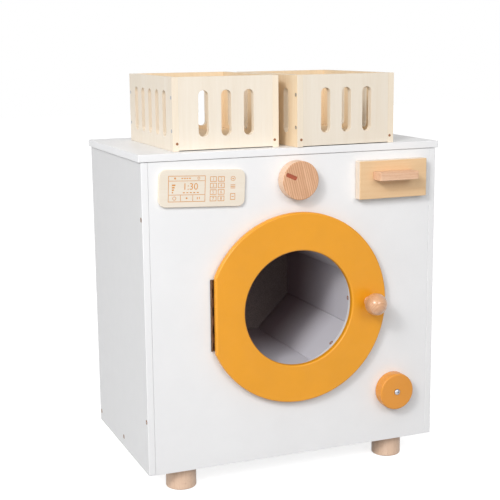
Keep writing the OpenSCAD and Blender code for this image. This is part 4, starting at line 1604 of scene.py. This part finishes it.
@dataclass(frozen=True)
class Lamp:
    """A soft rectangular lamp that looks at a point."""

    name: str
    place: Point
    size: Pair
    power: float
    target: Point = (0, 0, 0.25)

    def build(self) -> None:
        """Adds the lamp."""
        light = bpy.data.lights.new(self.name, "AREA")
        light.shape = "RECTANGLE"
        light.size, light.size_y = self.size
        light.energy = self.power
        lamp = bpy.data.objects.new(self.name, light)
        bpy.context.scene.collection.objects.link(lamp)
        lamp.location = self.place
        aim = Vector(self.target) - Vector(self.place)
        lamp.rotation_euler = aim.to_track_quat("-Z", "Y").to_euler()


@dataclass
class Studio:
    """The pale floor, the soft lamps and the camera."""

    lamps: tuple[Lamp, ...] = (
        Lamp("key", (-1.7, -1.85, 1.7), (1.4, 1.4), 32.0),
        Lamp("small_key", (-1.81, -1.72, 1.75), (0.4, 0.4), 21.0),
        Lamp("side_soft", (-2.5, -0.3, 0.5), (1.0, 1.0), 6.5),
        Lamp("high_fill", (0.3, -2.5, 1.5), (1.2, 1.0), 17.0),
    )
    sky: float = 0.405
    floor_size: float = 14.0
    floor_drop: float = 0.5
    floor_tone: float = 0.35
    floor_seen: float = 0.8
    floor_glow: float = 0.76
    lens: float = 81.33
    yaw: float = math.radians(21.911)
    pitch: float = math.radians(10.611)
    roll: float = math.radians(0.580)
    eye: Point = (-575.3, -1275.3, 532.2)

    def build(self, datum: Datum) -> None:
        """Builds the stage, whose camera stands from the shared places."""
        for lamp in self.lamps:
            lamp.build()
        self._floor()
        self._world()
        self._camera(datum)
        bpy.context.scene.view_settings.view_transform = "Standard"

    def _floor(self) -> None:
        """Lays a wide pale floor, which shows white to the camera and keeps the shadow."""
        Bench.pick()
        place = (0, 0, -self.floor_drop * MM)
        bpy.ops.mesh.primitive_plane_add(size=self.floor_size, location=place)
        floor = bpy.context.object
        floor.name = "floor"
        material = bpy.data.materials.new("pale_floor")
        material.use_nodes = True
        tree = material.node_tree
        tree.nodes.clear()
        plain, seen = tree.nodes.new("ShaderNodeBsdfDiffuse"), tree.nodes.new("ShaderNodeBsdfDiffuse")
        plain.inputs[0].default_value = (self.floor_tone,) * 3 + (1,)
        seen.inputs[0].default_value = (self.floor_seen,) * 3 + (1,)
        glow, both = tree.nodes.new("ShaderNodeEmission"), tree.nodes.new("ShaderNodeAddShader")
        glow.inputs[1].default_value = self.floor_glow
        tree.links.new(seen.outputs[0], both.inputs[0])
        tree.links.new(glow.outputs[0], both.inputs[1])
        self._choose(tree, plain, both, "ShaderNodeOutputMaterial")
        floor.data.materials.append(material)

    def _world(self) -> None:
        """Sets a white background for the camera and a softer grey light for the object."""
        world = bpy.data.worlds.new("studio")
        bpy.context.scene.world = world
        world.use_nodes = True
        tree = world.node_tree
        tree.nodes.clear()
        soft, white = tree.nodes.new("ShaderNodeBackground"), tree.nodes.new("ShaderNodeBackground")
        for shader, strength in ((soft, self.sky), (white, 1.0)):
            shader.inputs[0].default_value = (1, 1, 1, 1)
            shader.inputs[1].default_value = strength
        self._choose(tree, soft, white, "ShaderNodeOutputWorld")

    @staticmethod
    def _choose(tree: bpy.types.NodeTree, other: bpy.types.Node, seen: bpy.types.Node, end: str) -> None:
        """Shows one shader to the camera, in gloss and through glass, and another to all other rays.

        Args:
            tree: The nodes of the material or the world.
            other: The shader for all other rays.
            seen: The shader that shows.
            end: The type of the output node.
        """
        nodes, links = tree.nodes, tree.links
        path = nodes.new("ShaderNodeLightPath")
        total = path.outputs["Is Camera Ray"]
        for name in ("Is Glossy Ray", "Is Transmission Ray"):
            step = nodes.new("ShaderNodeMath")
            step.operation = "MAXIMUM"
            links.new(total, step.inputs[0])
            links.new(path.outputs[name], step.inputs[1])
            total = step.outputs[0]
        pick = nodes.new("ShaderNodeMixShader")
        for socket, source in zip(pick.inputs, (total, other.outputs[0], seen.outputs[0])):
            links.new(source, socket)
        links.new(pick.outputs[0], nodes.new(end).inputs[0])

    def _camera(self, datum: Datum) -> None:
        """Stands the camera where the picture was taken, from the shared places."""
        data = bpy.data.cameras.new("camera")
        data.sensor_fit, data.sensor_width, data.lens = "HORIZONTAL", 36.0, self.lens
        data.clip_start, data.clip_end = 0.05, 50
        camera = bpy.data.objects.new("camera", data)
        bpy.context.scene.collection.objects.link(camera)
        level = math.cos(self.pitch)
        ahead = Vector((math.sin(self.yaw) * level, math.cos(self.yaw) * level, -math.sin(self.pitch)))
        right = Vector((math.cos(self.yaw), -math.sin(self.yaw), 0))
        down = ahead.cross(right)
        turned_right = math.cos(self.roll) * right + math.sin(self.roll) * down
        turned_down = -math.sin(self.roll) * right + math.cos(self.roll) * down
        matrix = Matrix((turned_right, -turned_down, -ahead)).transposed().to_4x4()
        matrix.translation = datum.at(*self.eye)
        camera.matrix_world = matrix
        bpy.context.scene.camera = camera


def main() -> None:
    """Loads the frame, builds every sub-assembly in order and finishes."""
    logging.basicConfig(level=logging.INFO, format="%(message)s")
    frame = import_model()
    shop = Workshop(Datum.from_frame(), Finishes(), frame["nodes"])
    Studio().build(shop.datum)
    for kind in (Cabinet, DisplayPlate, Door, Dial, LowerKnob, Drawer, Drum):
        kind(shop).build()
    # Each basket's side that faces the other basket takes the warm sheet, as painted shade of the gap between
    # them.
    Basket(shop, "basket_left", (-154.2, 16.2), shade_warm_outside=("side_b",)).build()
    Basket(shop, "basket_right", (1.0, -3.0), math.radians(3), shade_warm_outside=("side_a",)).build()
    LOG.info("%d pieces made", len(shop.made))


if __name__ == "__main__":
    main()
